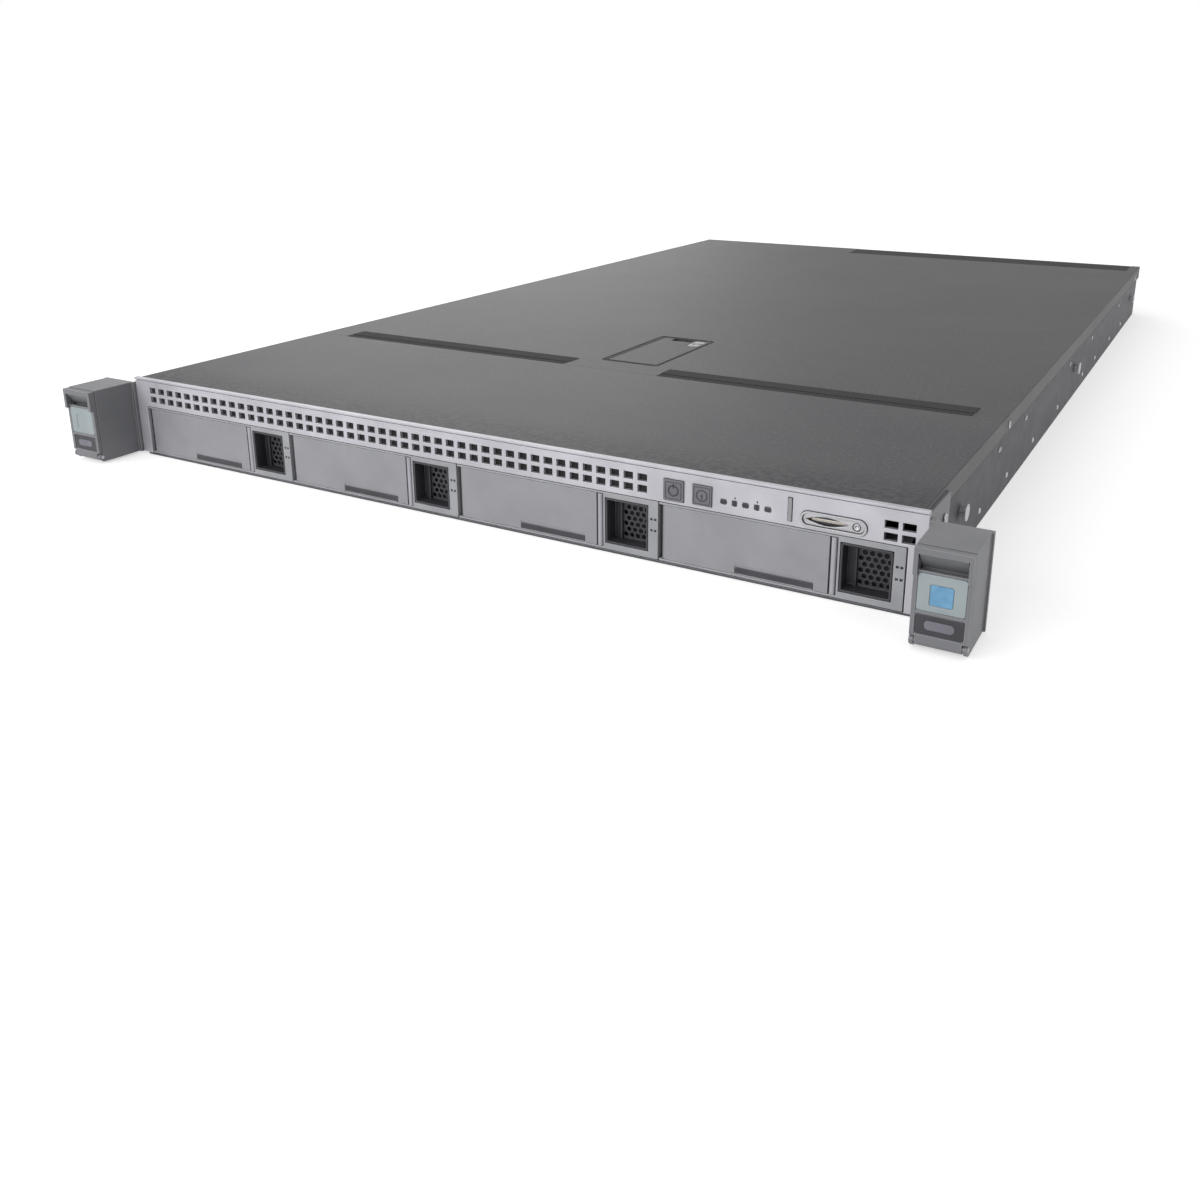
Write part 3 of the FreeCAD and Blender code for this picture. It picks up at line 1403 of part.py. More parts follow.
def psu_latch(index):
    """Spring leaf in the case's side with a thumb tab behind the server."""
    pivot_x, pivot_y = psu_latch_pivot(index)
    z0 = psu_latch_centre_z - psu_latch_height / 2
    z1 = psu_latch_centre_z + psu_latch_height / 2
    half = psu_latch_leaf / 2
    end = chassis_depth + psu_latch_reach
    hub = rod(pivot_x, pivot_y, z0, psu_latch_hub_radius, z1 - z0, Z_AXIS)
    leaf = box(pivot_x - half, pivot_x + half, pivot_y, end, z0, z1)
    tab_half = psu_latch_tab_thick / 2
    tab = box(pivot_x - tab_half, pivot_x + tab_half, end - psu_latch_tab_length, end, z0, z1)
    hook_back = chassis_depth - psu_latch_hook_length
    hook = box(pivot_x, pivot_x + psu_latch_inset - lever_play, hook_back - psu_latch_hook_length,
               hook_back, z0 + psu_latch_hook_length, z1 - psu_latch_hook_length)
    pin_reach = 4 * psu_latch_play
    pin = rod(pivot_x, pivot_y, z0 - pin_reach, psu_latch_pin_radius, z1 - z0 + 2 * pin_reach, Z_AXIS)
    return join([hub, leaf, tab, hook, pin])


# ================================================================ whole server
def main():
    """Build every piece and write it."""
    os.makedirs("parts", exist_ok=True)
    save("chassis_tray", chassis_tray())
    save("rear_panel", rear_panel())
    save("port_panel", port_panel())
    save("front_top_panel", front_top_panel())
    save("front_bezel", front_bezel())
    save("drive_cage", drive_cage())
    save("drive_backplane", drive_backplane())
    save("fan_housings", fan_housings())
    save("motherboard", motherboard())
    save("cpu_heatsinks", cpu_heatsinks())
    save("memory_modules", memory_modules())
    save("pcie_risers", pcie_risers())
    save("slot_blanks", slot_blanks())
    save("rear_ports", rear_ports())
    save("vga_port", vga_port())
    save("lever_pins", lever_pins())
    save("kvm_connector", kvm_connector())
    save("status_lights", status_lights())
    save("rail_pegs", rail_pegs())
    save("front_panel_board", front_panel_board())
    right_pieces = {"ear_bracket": ear_bracket(), "slam_lever": slam_lever(), "latch_pawl": latch_pawl()}
    for name, shape in right_pieces.items():
        save(name + "_right", shape)
        save(name + "_left", mirrored(shape))
    for index, x in enumerate(fan_centres()):
        save("fan_rotor_" + str(index + 1), fan_rotor(x))
    save("power_button", push_button(power_button_x, power_button_size))
    save("id_button", push_button(id_button_x, id_button_size))
    save("rear_id_button", rear_id_button())
    save("asset_tag", asset_tag())
    save("top_cover", top_cover())
    save("cover_latch", cover_latch())
    save("latch_lock", latch_lock())
    for index in range(psu_count):
        number = str(index + 1)
        save("psu_" + number + "_case", psu_case(index))
        save("psu_" + number + "_handle", psu_handle(index))
        save("psu_" + number + "_latch", psu_latch(index))
    for bay in range(bay_count):
        number = str(bay + 1)
        save("carrier_" + number, carrier(bay))
        save("disk_" + number, disk(bay))
        save("ejector_lever_" + number, ejector_lever(bay))
        save("release_button_" + number, release_button(bay))


if __name__ == "__main__":
    main()
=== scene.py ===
# %% [markdown]
# # A 1U rack server, dressed around its own construction model
#
# The construction model gives every piece of this server at its real size and place: folded
# steel, moulded drive carriers, levers, latches, fans and boards.  This notebook adds what the
# eye needs: the finish of each surface, small screws, lenses and seals, and plain studio light.
# We only ever read positions from the model, so nothing has to be fitted by hand.

# %% Load the construction model
import json
import math

import bmesh
import bpy
from mathutils import Matrix, Vector


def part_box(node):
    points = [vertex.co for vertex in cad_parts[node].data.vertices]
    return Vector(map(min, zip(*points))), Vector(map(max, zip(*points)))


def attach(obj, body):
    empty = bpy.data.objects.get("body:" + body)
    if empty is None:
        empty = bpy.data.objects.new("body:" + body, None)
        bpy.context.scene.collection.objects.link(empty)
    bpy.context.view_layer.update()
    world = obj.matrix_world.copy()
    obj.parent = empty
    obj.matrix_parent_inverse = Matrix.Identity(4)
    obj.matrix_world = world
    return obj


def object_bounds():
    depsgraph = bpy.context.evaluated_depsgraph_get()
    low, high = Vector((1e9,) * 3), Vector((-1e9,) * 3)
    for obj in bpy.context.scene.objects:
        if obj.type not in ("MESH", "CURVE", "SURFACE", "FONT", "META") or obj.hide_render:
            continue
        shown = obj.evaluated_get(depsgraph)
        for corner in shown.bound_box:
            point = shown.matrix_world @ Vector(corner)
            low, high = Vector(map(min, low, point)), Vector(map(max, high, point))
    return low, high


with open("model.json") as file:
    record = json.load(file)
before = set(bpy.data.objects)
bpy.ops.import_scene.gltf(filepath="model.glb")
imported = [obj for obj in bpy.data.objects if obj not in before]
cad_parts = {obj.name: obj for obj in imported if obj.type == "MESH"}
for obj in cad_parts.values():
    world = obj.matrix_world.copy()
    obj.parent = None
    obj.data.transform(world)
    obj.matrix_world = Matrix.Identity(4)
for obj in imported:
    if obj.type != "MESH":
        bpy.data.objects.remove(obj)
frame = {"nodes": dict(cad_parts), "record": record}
cad_low, cad_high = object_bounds()
mm = 0.001
print("server box in mm:", [round((b - a) / mm, 1) for a, b in zip(cad_low, cad_high)])

# %% [markdown]
# ## The camera
#
# The server is seen from its front right corner, a little from above, by a camera that stands
# close: the near ear is much larger than the far one.  We give the camera a place, the two
# angles it is turned by (down and to the left) and a lens.  The server sits high in the
# picture, so the lens is shifted a little instead of tilting the camera further, which would
# make the upright edges lean.

# %% Camera
camera_data = bpy.data.cameras.new("camera")
camera = bpy.data.objects.new("camera", camera_data)
bpy.context.collection.objects.link(camera)
bpy.context.scene.camera = camera
looking_down, turned_left = 17.2, 29.16
camera.location = (0.3102, -0.7556, 0.1876)
camera.rotation_euler = (math.radians(90 - looking_down), 0, math.radians(turned_left))
camera_data.sensor_width = 36
camera_data.lens = 33.98
camera_data.shift_x = -0.0227
camera_data.shift_y = -0.125
camera_data.clip_start = 0.02
near_corner = Vector((cad_high.x, cad_low.y, cad_low.z))
print("camera to the near ear, m:", round((camera.location - near_corner).length, 3))

# %% [markdown]
# ## One function for nodes, one for colours
#
# A material is a small graph of nodes.  `node` adds one of any kind: its own settings come as
# keywords, and each input gets either a plain value or the output of another node.  The few
# kinds that every finish needs have short names of their own.  Colours are picked on a screen,
# so they are written as the screen's hex values, and `tint` turns them into the linear light
# that the renderer reckons with.

# %% Node and colour helpers
def node(tree, kind, inputs=None, **settings):
    """Adds one node with its settings, and gives its inputs values or links."""
    made = tree.nodes.new(kind)
    for name, value in settings.items():
        setattr(made, name, value)
    for socket, value in (inputs or {}).items():
        if isinstance(value, bpy.types.NodeSocket):
            tree.links.new(value, made.inputs[socket])
        else:
            made.inputs[socket].default_value = value
    return made


def tint(hex_colour):
    """Linear RGBA of a screen colour written as six hex digits."""
    channels = [int(hex_colour[i:i + 2], 16) / 255 for i in (0, 2, 4)]
    linear = [c / 12.92 if c <= 0.04045 else ((c + 0.055) / 1.055) ** 2.4 for c in channels]
    return (*linear, 1)


def per_mm(feature):
    """Scale of a texture whose features are this many millimetres across."""
    return 1 / (feature * mm)


def noise(tree, place, size, detail):
    """Soft noise whose features are some millimetres across."""
    return node(tree, "ShaderNodeTexNoise",
                {"Vector": place, "Scale": per_mm(size), "Detail": detail}).outputs[0]


def remap(tree, value, source, target=(0.0, 1.0)):
    """Value carried over from one range to another, and held at its ends."""
    return node(tree, "ShaderNodeMapRange",
                {"Value": value, "From Min": source[0], "From Max": source[1],
                 "To Min": target[0], "To Max": target[1]}).outputs[0]


def times(tree, first, second):
    """Product of two values."""
    return node(tree, "ShaderNodeMath", {0: first, 1: second}, operation="MULTIPLY").outputs[0]


def blend(tree, share, first, second):
    """Colour between two others: a share of 0 is the first, 1 the second."""
    return node(tree, "ShaderNodeMix", {0: share, 6: first, 7: second},
                data_type="RGBA").outputs[2]


def new_material(name, **shader):
    """A material with one Principled shader: material, tree, shader and object coordinates."""
    material = bpy.data.materials.new(name)
    material.use_nodes = True
    tree = material.node_tree
    tree.nodes.clear()
    surface = node(tree, "ShaderNodeBsdfPrincipled",
                   {k.replace("_", " "): v for k, v in shader.items()})
    node(tree, "ShaderNodeOutputMaterial", {"Surface": surface.outputs[0]})
    place = node(tree, "ShaderNodeTexCoord").outputs["Object"]
    return material, tree, surface, place


def connect(tree, surface, colour, gloss, normal):
    """Gives a Principled shader its colour, roughness and normal."""
    for name, output in (("Base Color", colour), ("Roughness", gloss), ("Normal", normal)):
        tree.links.new(output, surface.inputs[name])


# %% [markdown]
# ## Studio light and floor
#
# The picture is a plain catalogue view: a white room, one soft light far behind the server to
# the left, which the covers mirror as a soft sheen, and one in front for the bezel.  The world
# is white where the camera, a mirror or clear glass looks at it, and a calm grey where it only
# gives light, so that the grey of the server stays as it is written.  The floor is matt and
# pale, and keeps the server's soft shadow.  Further out it glows up to white, so that no
# horizon shows.

# %% World and lamps
world = bpy.data.worlds.new("studio")
bpy.context.scene.world = world
bpy.context.scene.view_settings.view_transform = "Standard"
world.use_nodes = True
sky = world.node_tree
sky.nodes.clear()


def seen_directly(tree):
    """1 where the camera looks, also by a mirror or through glass, 0 where light is gathered."""
    ray = node(tree, "ShaderNodeLightPath").outputs
    mirror = node(tree, "ShaderNodeMath", {0: ray["Is Glossy Ray"], 1: ray["Is Transmission Ray"]},
                  operation="MAXIMUM")
    return node(tree, "ShaderNodeMath", {0: ray["Is Camera Ray"], 1: mirror.outputs[0]},
                operation="MAXIMUM").outputs[0]


room = node(sky, "ShaderNodeBackground", {"Color": tint("ffffff"), "Strength": 0.5})
white = node(sky, "ShaderNodeBackground", {"Color": tint("ffffff"), "Strength": 1.0})
both = node(sky, "ShaderNodeMixShader",
            {0: seen_directly(sky), 1: room.outputs[0], 2: white.outputs[0]})
node(sky, "ShaderNodeOutputWorld", {"Surface": both.outputs[0]})


def area_light(name, place, aim, width, height, watts):
    """A flat soft lamp at `place` that looks at `aim`."""
    data = bpy.data.lights.new(name, "AREA")
    data.shape = "RECTANGLE"
    data.size = width
    data.size_y = height
    data.energy = watts
    lamp = bpy.data.objects.new(name, data)
    bpy.context.collection.objects.link(lamp)
    lamp.location = place
    lamp.rotation_euler = (Vector(aim) - Vector(place)).to_track_quat("-Z", "Y").to_euler()
    return lamp


area_light("rear_left_softbox", (-2.5, 2.9, 0.9), (-0.1, 0.2, 0), 2.2, 1.1, 28)
area_light("front_softbox", (-0.7, -2.2, 0.9), (0, -0.3, 0), 1.8, 1.2, 26)

# %% Floor
floor_reach = 12.0
floor_z = cad_low.z - 0.2 * mm
corners = [(x * floor_reach, y * floor_reach, floor_z)
           for x, y in ((-1, -1), (1, -1), (1, 1), (-1, 1))]
floor_mesh = bpy.data.meshes.new("floor")
floor_mesh.from_pydata(corners, [], [(0, 1, 2, 3)])
floor = bpy.data.objects.new("floor", floor_mesh)
bpy.context.collection.objects.link(floor)
floor_paint, tree, surface, place = new_material("matt_white_floor_paint", Roughness=0.9,
                                                 Base_Color=tint("f2f2f2"))
near_glow, near_reach, far_reach = 0.5, 0.7, 2.5
glow = node(tree, "ShaderNodeEmission", {"Color": tint("ffffff")})
away = node(tree, "ShaderNodeVectorMath", {0: place}, operation="LENGTH").outputs["Value"]
fade = remap(tree, away, (near_reach, far_reach), (near_glow, 1.0))
tree.links.new(times(tree, seen_directly(tree), fade), glow.inputs["Strength"])
sum_of_both = node(tree, "ShaderNodeAddShader", {0: surface.outputs[0], 1: glow.outputs[0]})
tree.links.new(sum_of_both.outputs[0], tree.nodes["Material Output"].inputs["Surface"])
floor_mesh.materials.append(floor_paint)

# %% [markdown]
# ## A skin shared by most finishes
#
# Sheet metal and mouldings never have knife-sharp edges, and their skin is never dead flat.
# One function builds both: a bevel node rounds the shading of every edge by a real radius, and
# fine noise lifts the skin by a real height.  It hands back the normal, and a mask that is 1 on
# the edges, which the finishes use to draw the edges lighter: partly wear, where paint wears
# thin, and partly a painted highlight, where corners catch the light.

# %% Skin
def skin(tree, place, grain, height, corner):
    """Normal with rounded edges and a grain, both in millimetres, and a mask of the edges."""
    rounded = node(tree, "ShaderNodeBevel", {"Radius": corner * mm}, samples=4).outputs[0]
    grains = node(tree, "ShaderNodeTexNoise",
                  {"Vector": place, "Scale": per_mm(grain), "Detail": 2, "Roughness": 0.55})
    bump = node(tree, "ShaderNodeBump", {"Height": grains.outputs[0], "Distance": height * mm,
                                         "Strength": 1.0, "Normal": rounded})
    flat = node(tree, "ShaderNodeNewGeometry").outputs["Normal"]
    facing = node(tree, "ShaderNodeVectorMath", {0: rounded, 1: flat}, operation="DOT_PRODUCT")
    return bump.outputs[0], remap(tree, facing.outputs["Value"], (0.99, 0.85))


def mottled(tree, place, low, high, patch):
    """Colour that drifts between two tones in soft patches of a size in millimetres."""
    share = remap(tree, noise(tree, place, patch, 4), (0.35, 0.65))
    return blend(tree, share, tint(low), tint(high))


# %% [markdown]
# ## Powder coat on the covers
#
# The top cover and the panel over the drives are mild steel sheet under a grey powder coat.
# Powder melts into a skin with a very fine orange peel, about half a millimetre from crest to
# crest, and stays satin with little gloss.  Next to the front lip the coat is drawn darker, with
# a band of small dark specks along that edge.  The peel is drawn at 0.9 mm, coarser than life,
# because finer grain is lost here.

# %% Powder-coated steel
full_specks = 8  # mm behind the front edge up to which the dark band is at its strongest


def powder_coat(name, low, high, speck_band=0.0):
    """Satin grey powder coat; `speck_band` is how far the dark band reaches from the front."""
    coat, tree, surface, place = new_material(name, IOR=1.5, Specular_IOR_Level=0.22)
    normal, edges = skin(tree, place, grain=0.9, height=0.035, corner=0.5)
    shown = mottled(tree, place, low, high, patch=70)
    flecks = noise(tree, place, 1.1, 1)
    shown = blend(tree, remap(tree, flecks, (0.56, 0.74), (0.0, 0.35)), shown, tint("8b8b8c"))
    if speck_band:
        depth = node(tree, "ShaderNodeSeparateXYZ", {0: place}).outputs["Y"]
        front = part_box("front_top_panel")[0].y
        near_lip = remap(tree, depth, (front + full_specks * mm, front + speck_band * mm),
                         (1.0, 0.0))
        specks = remap(tree, noise(tree, place, 2.6, 3), (0.42, 0.58), (0.3, 1.0))
        shown = blend(tree, times(tree, near_lip, specks), shown, tint("39393c"))
    # edges drawn lighter: partly wear of the coat, partly a painted highlight
    shown = blend(tree, times(tree, edges, 0.5), shown, tint("9a9a9c"))
    connect(tree, surface, shown, remap(tree, flecks, (0.0, 1.0), (0.5, 0.68)), normal)
    return coat


cover_coat = powder_coat("powder_coated_steel_cover", "4a4a4c", "4f4f51")
front_roof_coat = powder_coat("powder_coated_steel_front", "4b4b4e", "515153", speck_band=34)

# %% [markdown]
# ## Sprayed silver enamel and painted castings
#
# The bezel strip, the ears and their levers have a sprayed silver paint: aluminium flakes in a
# clear binder.  Flakes give it a soft metal sheen and a faint sparkle, so we make it part metal
# and let fine noise move both colour and roughness.  Edges are drawn brighter: worn corners show
# the brighter flake, and a painted highlight lies along the edges too.

# %% Sprayed silver paint
def silver_paint(name, low, high, bright, roughness=0.42, metal=0.35):
    """Sprayed metallic paint between two tones, brighter on the edges: rubbed there, plus a painted
    highlight.
    """
    paint, tree, surface, place = new_material(name, Metallic=metal, IOR=1.5)
    normal, edges = skin(tree, place, grain=0.7, height=0.02, corner=0.45)
    shown = mottled(tree, place, low, high, patch=24)
    flakes = node(tree, "ShaderNodeTexVoronoi",
                  {"Vector": place, "Scale": per_mm(0.6)}).outputs["Distance"]
    shown = blend(tree, remap(tree, flakes, (0.0, 0.25), (0.4, 0.0)), shown, tint(high))
    # edges drawn brighter: rubbed flake, plus a painted highlight
    shown = blend(tree, times(tree, edges, 0.75), shown, tint(bright))
    gloss = remap(tree, flakes, (0.0, 1.0), (roughness, roughness + 0.12))
    connect(tree, surface, shown, gloss, normal)
    return paint


bezel_paint = silver_paint("sprayed_silver_enamel_bezel", "b3b2b8", "c2c1c8", "e8e8ee")
ear_paint = silver_paint("painted_aluminium_ear", "737477", "7b7b7f", "b4b5ba", metal=0.15)

# %% [markdown]
# ## Moulded plastics
#
# Carriers, levers, buttons and handles are injection moulded.  The mould was spark eroded, which
# leaves a fine even grain, so the same recipe serves them all: colour with a slight drift where
# the melt flowed, a grain, and edges that are a little shinier from fingers and drawn lighter,
# partly as wear and partly as a painted highlight.

# %% Moulded plastic
def moulded_plastic(name, low, high, edge, grain=0.8, height=0.03, roughness=0.5, metal=0.0):
    """Injection-moulded plastic with an eroded grain; `edge` is the tone of the corners, worn by
    hands and lit by a painted highlight.
    """
    plastic, tree, surface, place = new_material(name, Metallic=metal, IOR=1.52)
    normal, edges = skin(tree, place, grain, height, corner=0.4)
    colour = mottled(tree, place, low, high, patch=18)
    # edges drawn lighter: partly wear from hands, partly a painted highlight
    shown = blend(tree, times(tree, edges, 0.7), colour, tint(edge))
    polish = remap(tree, edges, (0.0, 1.0), (roughness, roughness - 0.12))
    connect(tree, surface, shown, polish, normal)
    return plastic


carrier_plastic = moulded_plastic("silver_abs_carrier", "96979b", "a2a3a6", "c4c5c9", metal=0.2)
lever_plastic = moulded_plastic("silver_abs_lever", "909094", "97979b", "c6c6ca", metal=0.2)
release_plastic = moulded_plastic("silver_abs_release", "a09fa5", "adacb2", "e4e4e8", metal=0.25)
button_plastic = moulded_plastic("grey_polycarbonate_button", "66666b", "74747a", "98989e")
black_plastic = moulded_plastic("black_nylon_handle", "1f1f21", "29292c", "4a4a4e", grain=1.0)
fan_plastic = moulded_plastic("black_glass_filled_polyester_fan", "1a1a1c", "232326", "3c3c40")
mesh_plastic = moulded_plastic("black_abs_drive_mesh", "2b2a2f", "38373d", "5a595f")
tag_plastic = moulded_plastic("pale_polycarbonate_tag", "8f8f92", "9b9b9f", "b5b5b8",
                              roughness=0.35)
latch_plastic = moulded_plastic("green_acetal_latch", "2f6f5e", "37806c", "6aa897", roughness=0.4)
lens_plastic = moulded_plastic("smoked_acrylic_light_pipe", "3c3c42", "47474e", "77777e",
                               height=0.004, roughness=0.2)

# %% [markdown]
# ## Bare metals
#
# The tray is hot-dip galvanised sheet: zinc freezes into flat crystals, the spangle, each of
# which reflects in its own direction.  Voronoi cells a few millimetres across draw them, and
# each cell gets its own tone and roughness.  Old zinc is dull, with an oxide skin, so it is only
# part metal here.  Small hardware is zinc plated, the power supply case is nickel plated, and
# both are rolled or turned, so they carry fine lines one way.

# %% Galvanised steel
def galvanised_steel(name, low, high):
    """Zinc spangle on folded sheet."""
    zinc, tree, surface, place = new_material(name, Metallic=0.45, Specular_IOR_Level=0.3)
    normal, edges = skin(tree, place, grain=1.4, height=0.02, corner=0.4)
    warp = node(tree, "ShaderNodeTexNoise", {"Vector": place, "Scale": per_mm(9), "Detail": 2})
    bent = node(tree, "ShaderNodeMix", {0: 0.004, 4: place, 5: warp.outputs["Color"]},
                data_type="VECTOR")
    spangle = node(tree, "ShaderNodeTexVoronoi", {"Vector": bent.outputs[1], "Scale": per_mm(6.5)})
    tone = node(tree, "ShaderNodeSeparateColor", {0: spangle.outputs["Color"]}).outputs[0]
    crystal = blend(tree, tone, tint(low), tint(high))
    # edges drawn lighter: partly worn zinc, partly a painted highlight
    shown = blend(tree, times(tree, edges, 0.6), crystal, tint("c9cacc"))
    connect(tree, surface, shown, remap(tree, tone, (0.0, 1.0), (0.5, 0.64)), normal)
    return zinc


# %% Rolled and plated metal
def rolled_metal(name, low, high, along=(0.02, 1, 1), line=0.5, roughness=0.34):
    """Plated or extruded metal with fine lines; `along` squeezes the pattern in that direction."""
    metal, tree, surface, place = new_material(name, Metallic=0.9)
    rounded = node(tree, "ShaderNodeBevel", {"Radius": 0.35 * mm}, samples=4).outputs[0]
    drawn = node(tree, "ShaderNodeVectorMath", {0: place, 1: along}, operation="MULTIPLY")
    lines = noise(tree, drawn.outputs[0], line, 3)
    bump = node(tree, "ShaderNodeBump", {"Height": lines, "Distance": 0.012 * mm,
                                         "Strength": 1.0, "Normal": rounded})
    colour = blend(tree, remap(tree, lines, (0.35, 0.65)), tint(low), tint(high))
    gloss = remap(tree, lines, (0.0, 1.0), (roughness - 0.06, roughness + 0.12))
    connect(tree, surface, colour, gloss, bump.outputs[0])
    return metal


tray_zinc = galvanised_steel("galvanised_steel_tray", "4a4a4e", "5b5b60")
zinc_hardware = rolled_metal("zinc_plated_steel_hardware", "a9aaad", "c3c4c7")
psu_nickel = rolled_metal("nickel_plated_steel_case", "9d9c99", "b3b2af", along=(1, 0.02, 1))
connector_nickel = rolled_metal("nickel_plated_shell", "a0a0a3", "b8b8bb", line=0.3)
sink_aluminium = rolled_metal("extruded_aluminium_fins", "b4b5b8", "c8c9cc", along=(1, 0.02, 1))
disk_aluminium = galvanised_steel("cast_aluminium_disk", "8f9093", "a4a5a8")
contact_gold = rolled_metal("gold_plated_contact", "c89a3c", "e0b95a", line=0.3, roughness=0.22)

# %% [markdown]
# ## Circuit board
#
# The boards are FR-4: glass cloth in epoxy under a green solder mask.  The weave is half a
# millimetre, and copper tracks under the mask show as a slightly lighter green in straight runs.

# %% Circuit board laminate
def board_laminate():
    """Green solder mask over tracks and glass cloth."""
    board, tree, surface, place = new_material("fr4_laminate_solder_mask", Roughness=0.3, IOR=1.5)
    tracks = node(tree, "ShaderNodeTexBrick",
                  {"Vector": place, "Color1": tint("14503a"), "Color2": tint("185a42"),
                   "Mortar": tint("0e3d2c"), "Scale": per_mm(6), "Mortar Size": 0.06,
                   "Brick Width": 2.6, "Row Height": 0.3})
    bump = node(tree, "ShaderNodeBump", {"Height": noise(tree, place, 0.6, 1),
                                         "Distance": 0.01 * mm, "Strength": 1.0})
    tree.links.new(tracks.outputs["Color"], surface.inputs["Base Color"])
    tree.links.new(bump.outputs[0], surface.inputs["Normal"])
    return board


laminate = board_laminate()

# %% [markdown]
# ## Dress the construction model
#
# The record names a material slot for every piece.  One table turns slots into finishes, and a
# second one names the few pieces whose finish differs from the rest of their slot.

# %% Give every piece its finish
finish_of_slot = {
    "galvanised_steel": tray_zinc, "grey_enamel": cover_coat, "silver_enamel": bezel_paint,
    "ear_silver": ear_paint, "pawl_steel": zinc_hardware, "carrier_plastic": carrier_plastic,
    "lever_plastic": lever_plastic, "release_plastic": release_plastic,
    "disk_casting": disk_aluminium, "heatsink_aluminium": sink_aluminium,
    "board_laminate": laminate, "fan_plastic": fan_plastic, "psu_steel": psu_nickel,
    "handle_plastic": black_plastic, "latch_plastic": latch_plastic,
    "button_plastic": button_plastic, "tag_plastic": tag_plastic, "light_pipe": lens_plastic,
    "connector_shell": connector_nickel}
finish_of_node = {"front_top_panel": front_roof_coat, "rail_pegs": zinc_hardware,
                  "lever_pins": zinc_hardware, "latch_lock": ear_paint}
slot_of_node = {part["node"]: part["material_slot"] for part in frame["record"]["subparts"]}
for name, part in frame["nodes"].items():
    finish = finish_of_node.get(name, finish_of_slot[slot_of_node[name]])
    for slot in part.material_slots:
        slot.material = finish
print("dressed", len(frame["nodes"]), "pieces in", len(set(finish_of_slot.values())), "finishes")

# %% [markdown]
# # Trim
#
# What follows are the small pieces that a construction model leaves out: liners, lenses,
# badges, seals, screws and sockets' insides.  Nearly all of them are stamped or moulded flat
# pieces with holes, or turned ones.  So two functions make the meshes: `stamped` fills an
# outline with holes, gives it a thickness and softens its edges, and `turned` spins a profile.
# Both lie on the floor facing up; `facing` then stands them against a wall of the server.

# %% Outlines in millimetres
def rounded(width, height, radius, middle=(0, 0), steps=4):
    """Rectangle with round corners, as points anticlockwise."""
    x0, y0 = middle
    points = []
    for sx, sy, start in ((1, 1, 0), (-1, 1, 90), (-1, -1, 180), (1, -1, 270)):
        for step in range(steps + 1):
            angle = math.radians(start + 90 * step / steps)
            points.append((x0 + sx * (width / 2 - radius) + radius * math.cos(angle),
                           y0 + sy * (height / 2 - radius) + radius * math.sin(angle)))
    return points


def ring(radius, middle=(0, 0), steps=20, turn=0.0):
    """Circle, or with few steps an even polygon."""
    angles = [math.radians(turn + 360 * step / steps) for step in range(steps)]
    return [(middle[0] + radius * math.cos(a), middle[1] + radius * math.sin(a)) for a in angles]


def cross(span, bar, middle=(0, 0)):
    """Cross recess of a screw."""
    s, b = span / 2, bar / 2
    points = [(s, -b), (s, b), (b, b), (b, s), (-b, s), (-b, b),
              (-s, b), (-s, -b), (-b, -b), (-b, -s), (b, -s), (b, -b)]
    return [(middle[0] + x, middle[1] + y) for x, y in points]


# %% [markdown]
# A curve that is filled in 2D makes a plate with any number of holes in one go: the first
# outline is the plate, every further one inside it is a hole.  Its bevel rounds the edges as a
# press does, and the offset takes back what the bevel would add to the outline.

# %% Stamped pieces
def stamped(outlines, thick, edge=0.0, lift=0.0):
    """Mesh of a flat piece: the first outline, less the others, standing on z = lift."""
    sheet = bpy.data.curves.new("outline", "CURVE")
    sheet.dimensions = "2D"
    sheet.fill_mode = "BOTH"
    for outline in outlines:
        line = sheet.splines.new("POLY")
        line.points.add(len(outline) - 1)
        for point, (x, y) in zip(line.points, outline):
            point.co = (x * mm, y * mm, 0, 1)
        line.use_cyclic_u = True
    sheet.extrude = (thick / 2 - edge) * mm
    sheet.bevel_depth = edge * mm
    sheet.bevel_resolution = 1
    sheet.offset = -edge * mm
    holder = bpy.data.objects.new("outline", sheet)
    bpy.context.collection.objects.link(holder)
    graph = bpy.context.evaluated_depsgraph_get()
    mesh = bpy.data.meshes.new_from_object(holder.evaluated_get(graph))
    bpy.data.objects.remove(holder)
    bpy.data.curves.remove(sheet)
    mesh.transform(Matrix.Translation((0, 0, (lift + thick / 2) * mm)))
    return mesh


# %% Turned pieces
def turned(profile, steps=20, turn=0.0):
    """Mesh of a profile (radius, height) in millimetres spun about the upright axis."""
    form = bmesh.new()
    rings = []
    for radius, height in profile:
        if radius == 0:
            rings.append([form.verts.new((0, 0, height * mm))])
        else:
            rings.append([form.verts.new((x * mm, y * mm, height * mm))
                          for x, y in ring(radius, steps=steps, turn=turn)])
    for low, high in zip(rings, rings[1:]):
        for i in range(steps):
            j = (i + 1) % steps
            around = [low[i % len(low)], low[j % len(low)],
                      high[j % len(high)], high[i % len(high)]]
            corners = [v for k, v in enumerate(around) if v not in around[:k]]
            if len(corners) > 2:
                form.faces.new(corners)
    bmesh.ops.recalc_face_normals(form, faces=form.faces)
    mesh = bpy.data.meshes.new("turned")
    form.to_mesh(mesh)
    form.free()
    return mesh


# %% Standing pieces against a wall, and joining them into one object
upright = Matrix.Rotation(math.radians(90), 4, "X")
turns = {"top": Matrix.Identity(4),
         "front": upright,
         "rear": Matrix.Rotation(math.radians(180), 4, "Z") @ upright,
         "right": Matrix.Rotation(math.radians(90), 4, "Z") @ upright,
         "left": Matrix.Rotation(math.radians(-90), 4, "Z") @ upright}


def facing(mesh, side, place, spin=0.0):
    """A mesh, and the matrix that makes it look out of one side, at a place in metres."""
    spun = Matrix.Rotation(math.radians(spin), 4, "Z")
    return mesh, Matrix.Translation(place) @ turns[side] @ spun


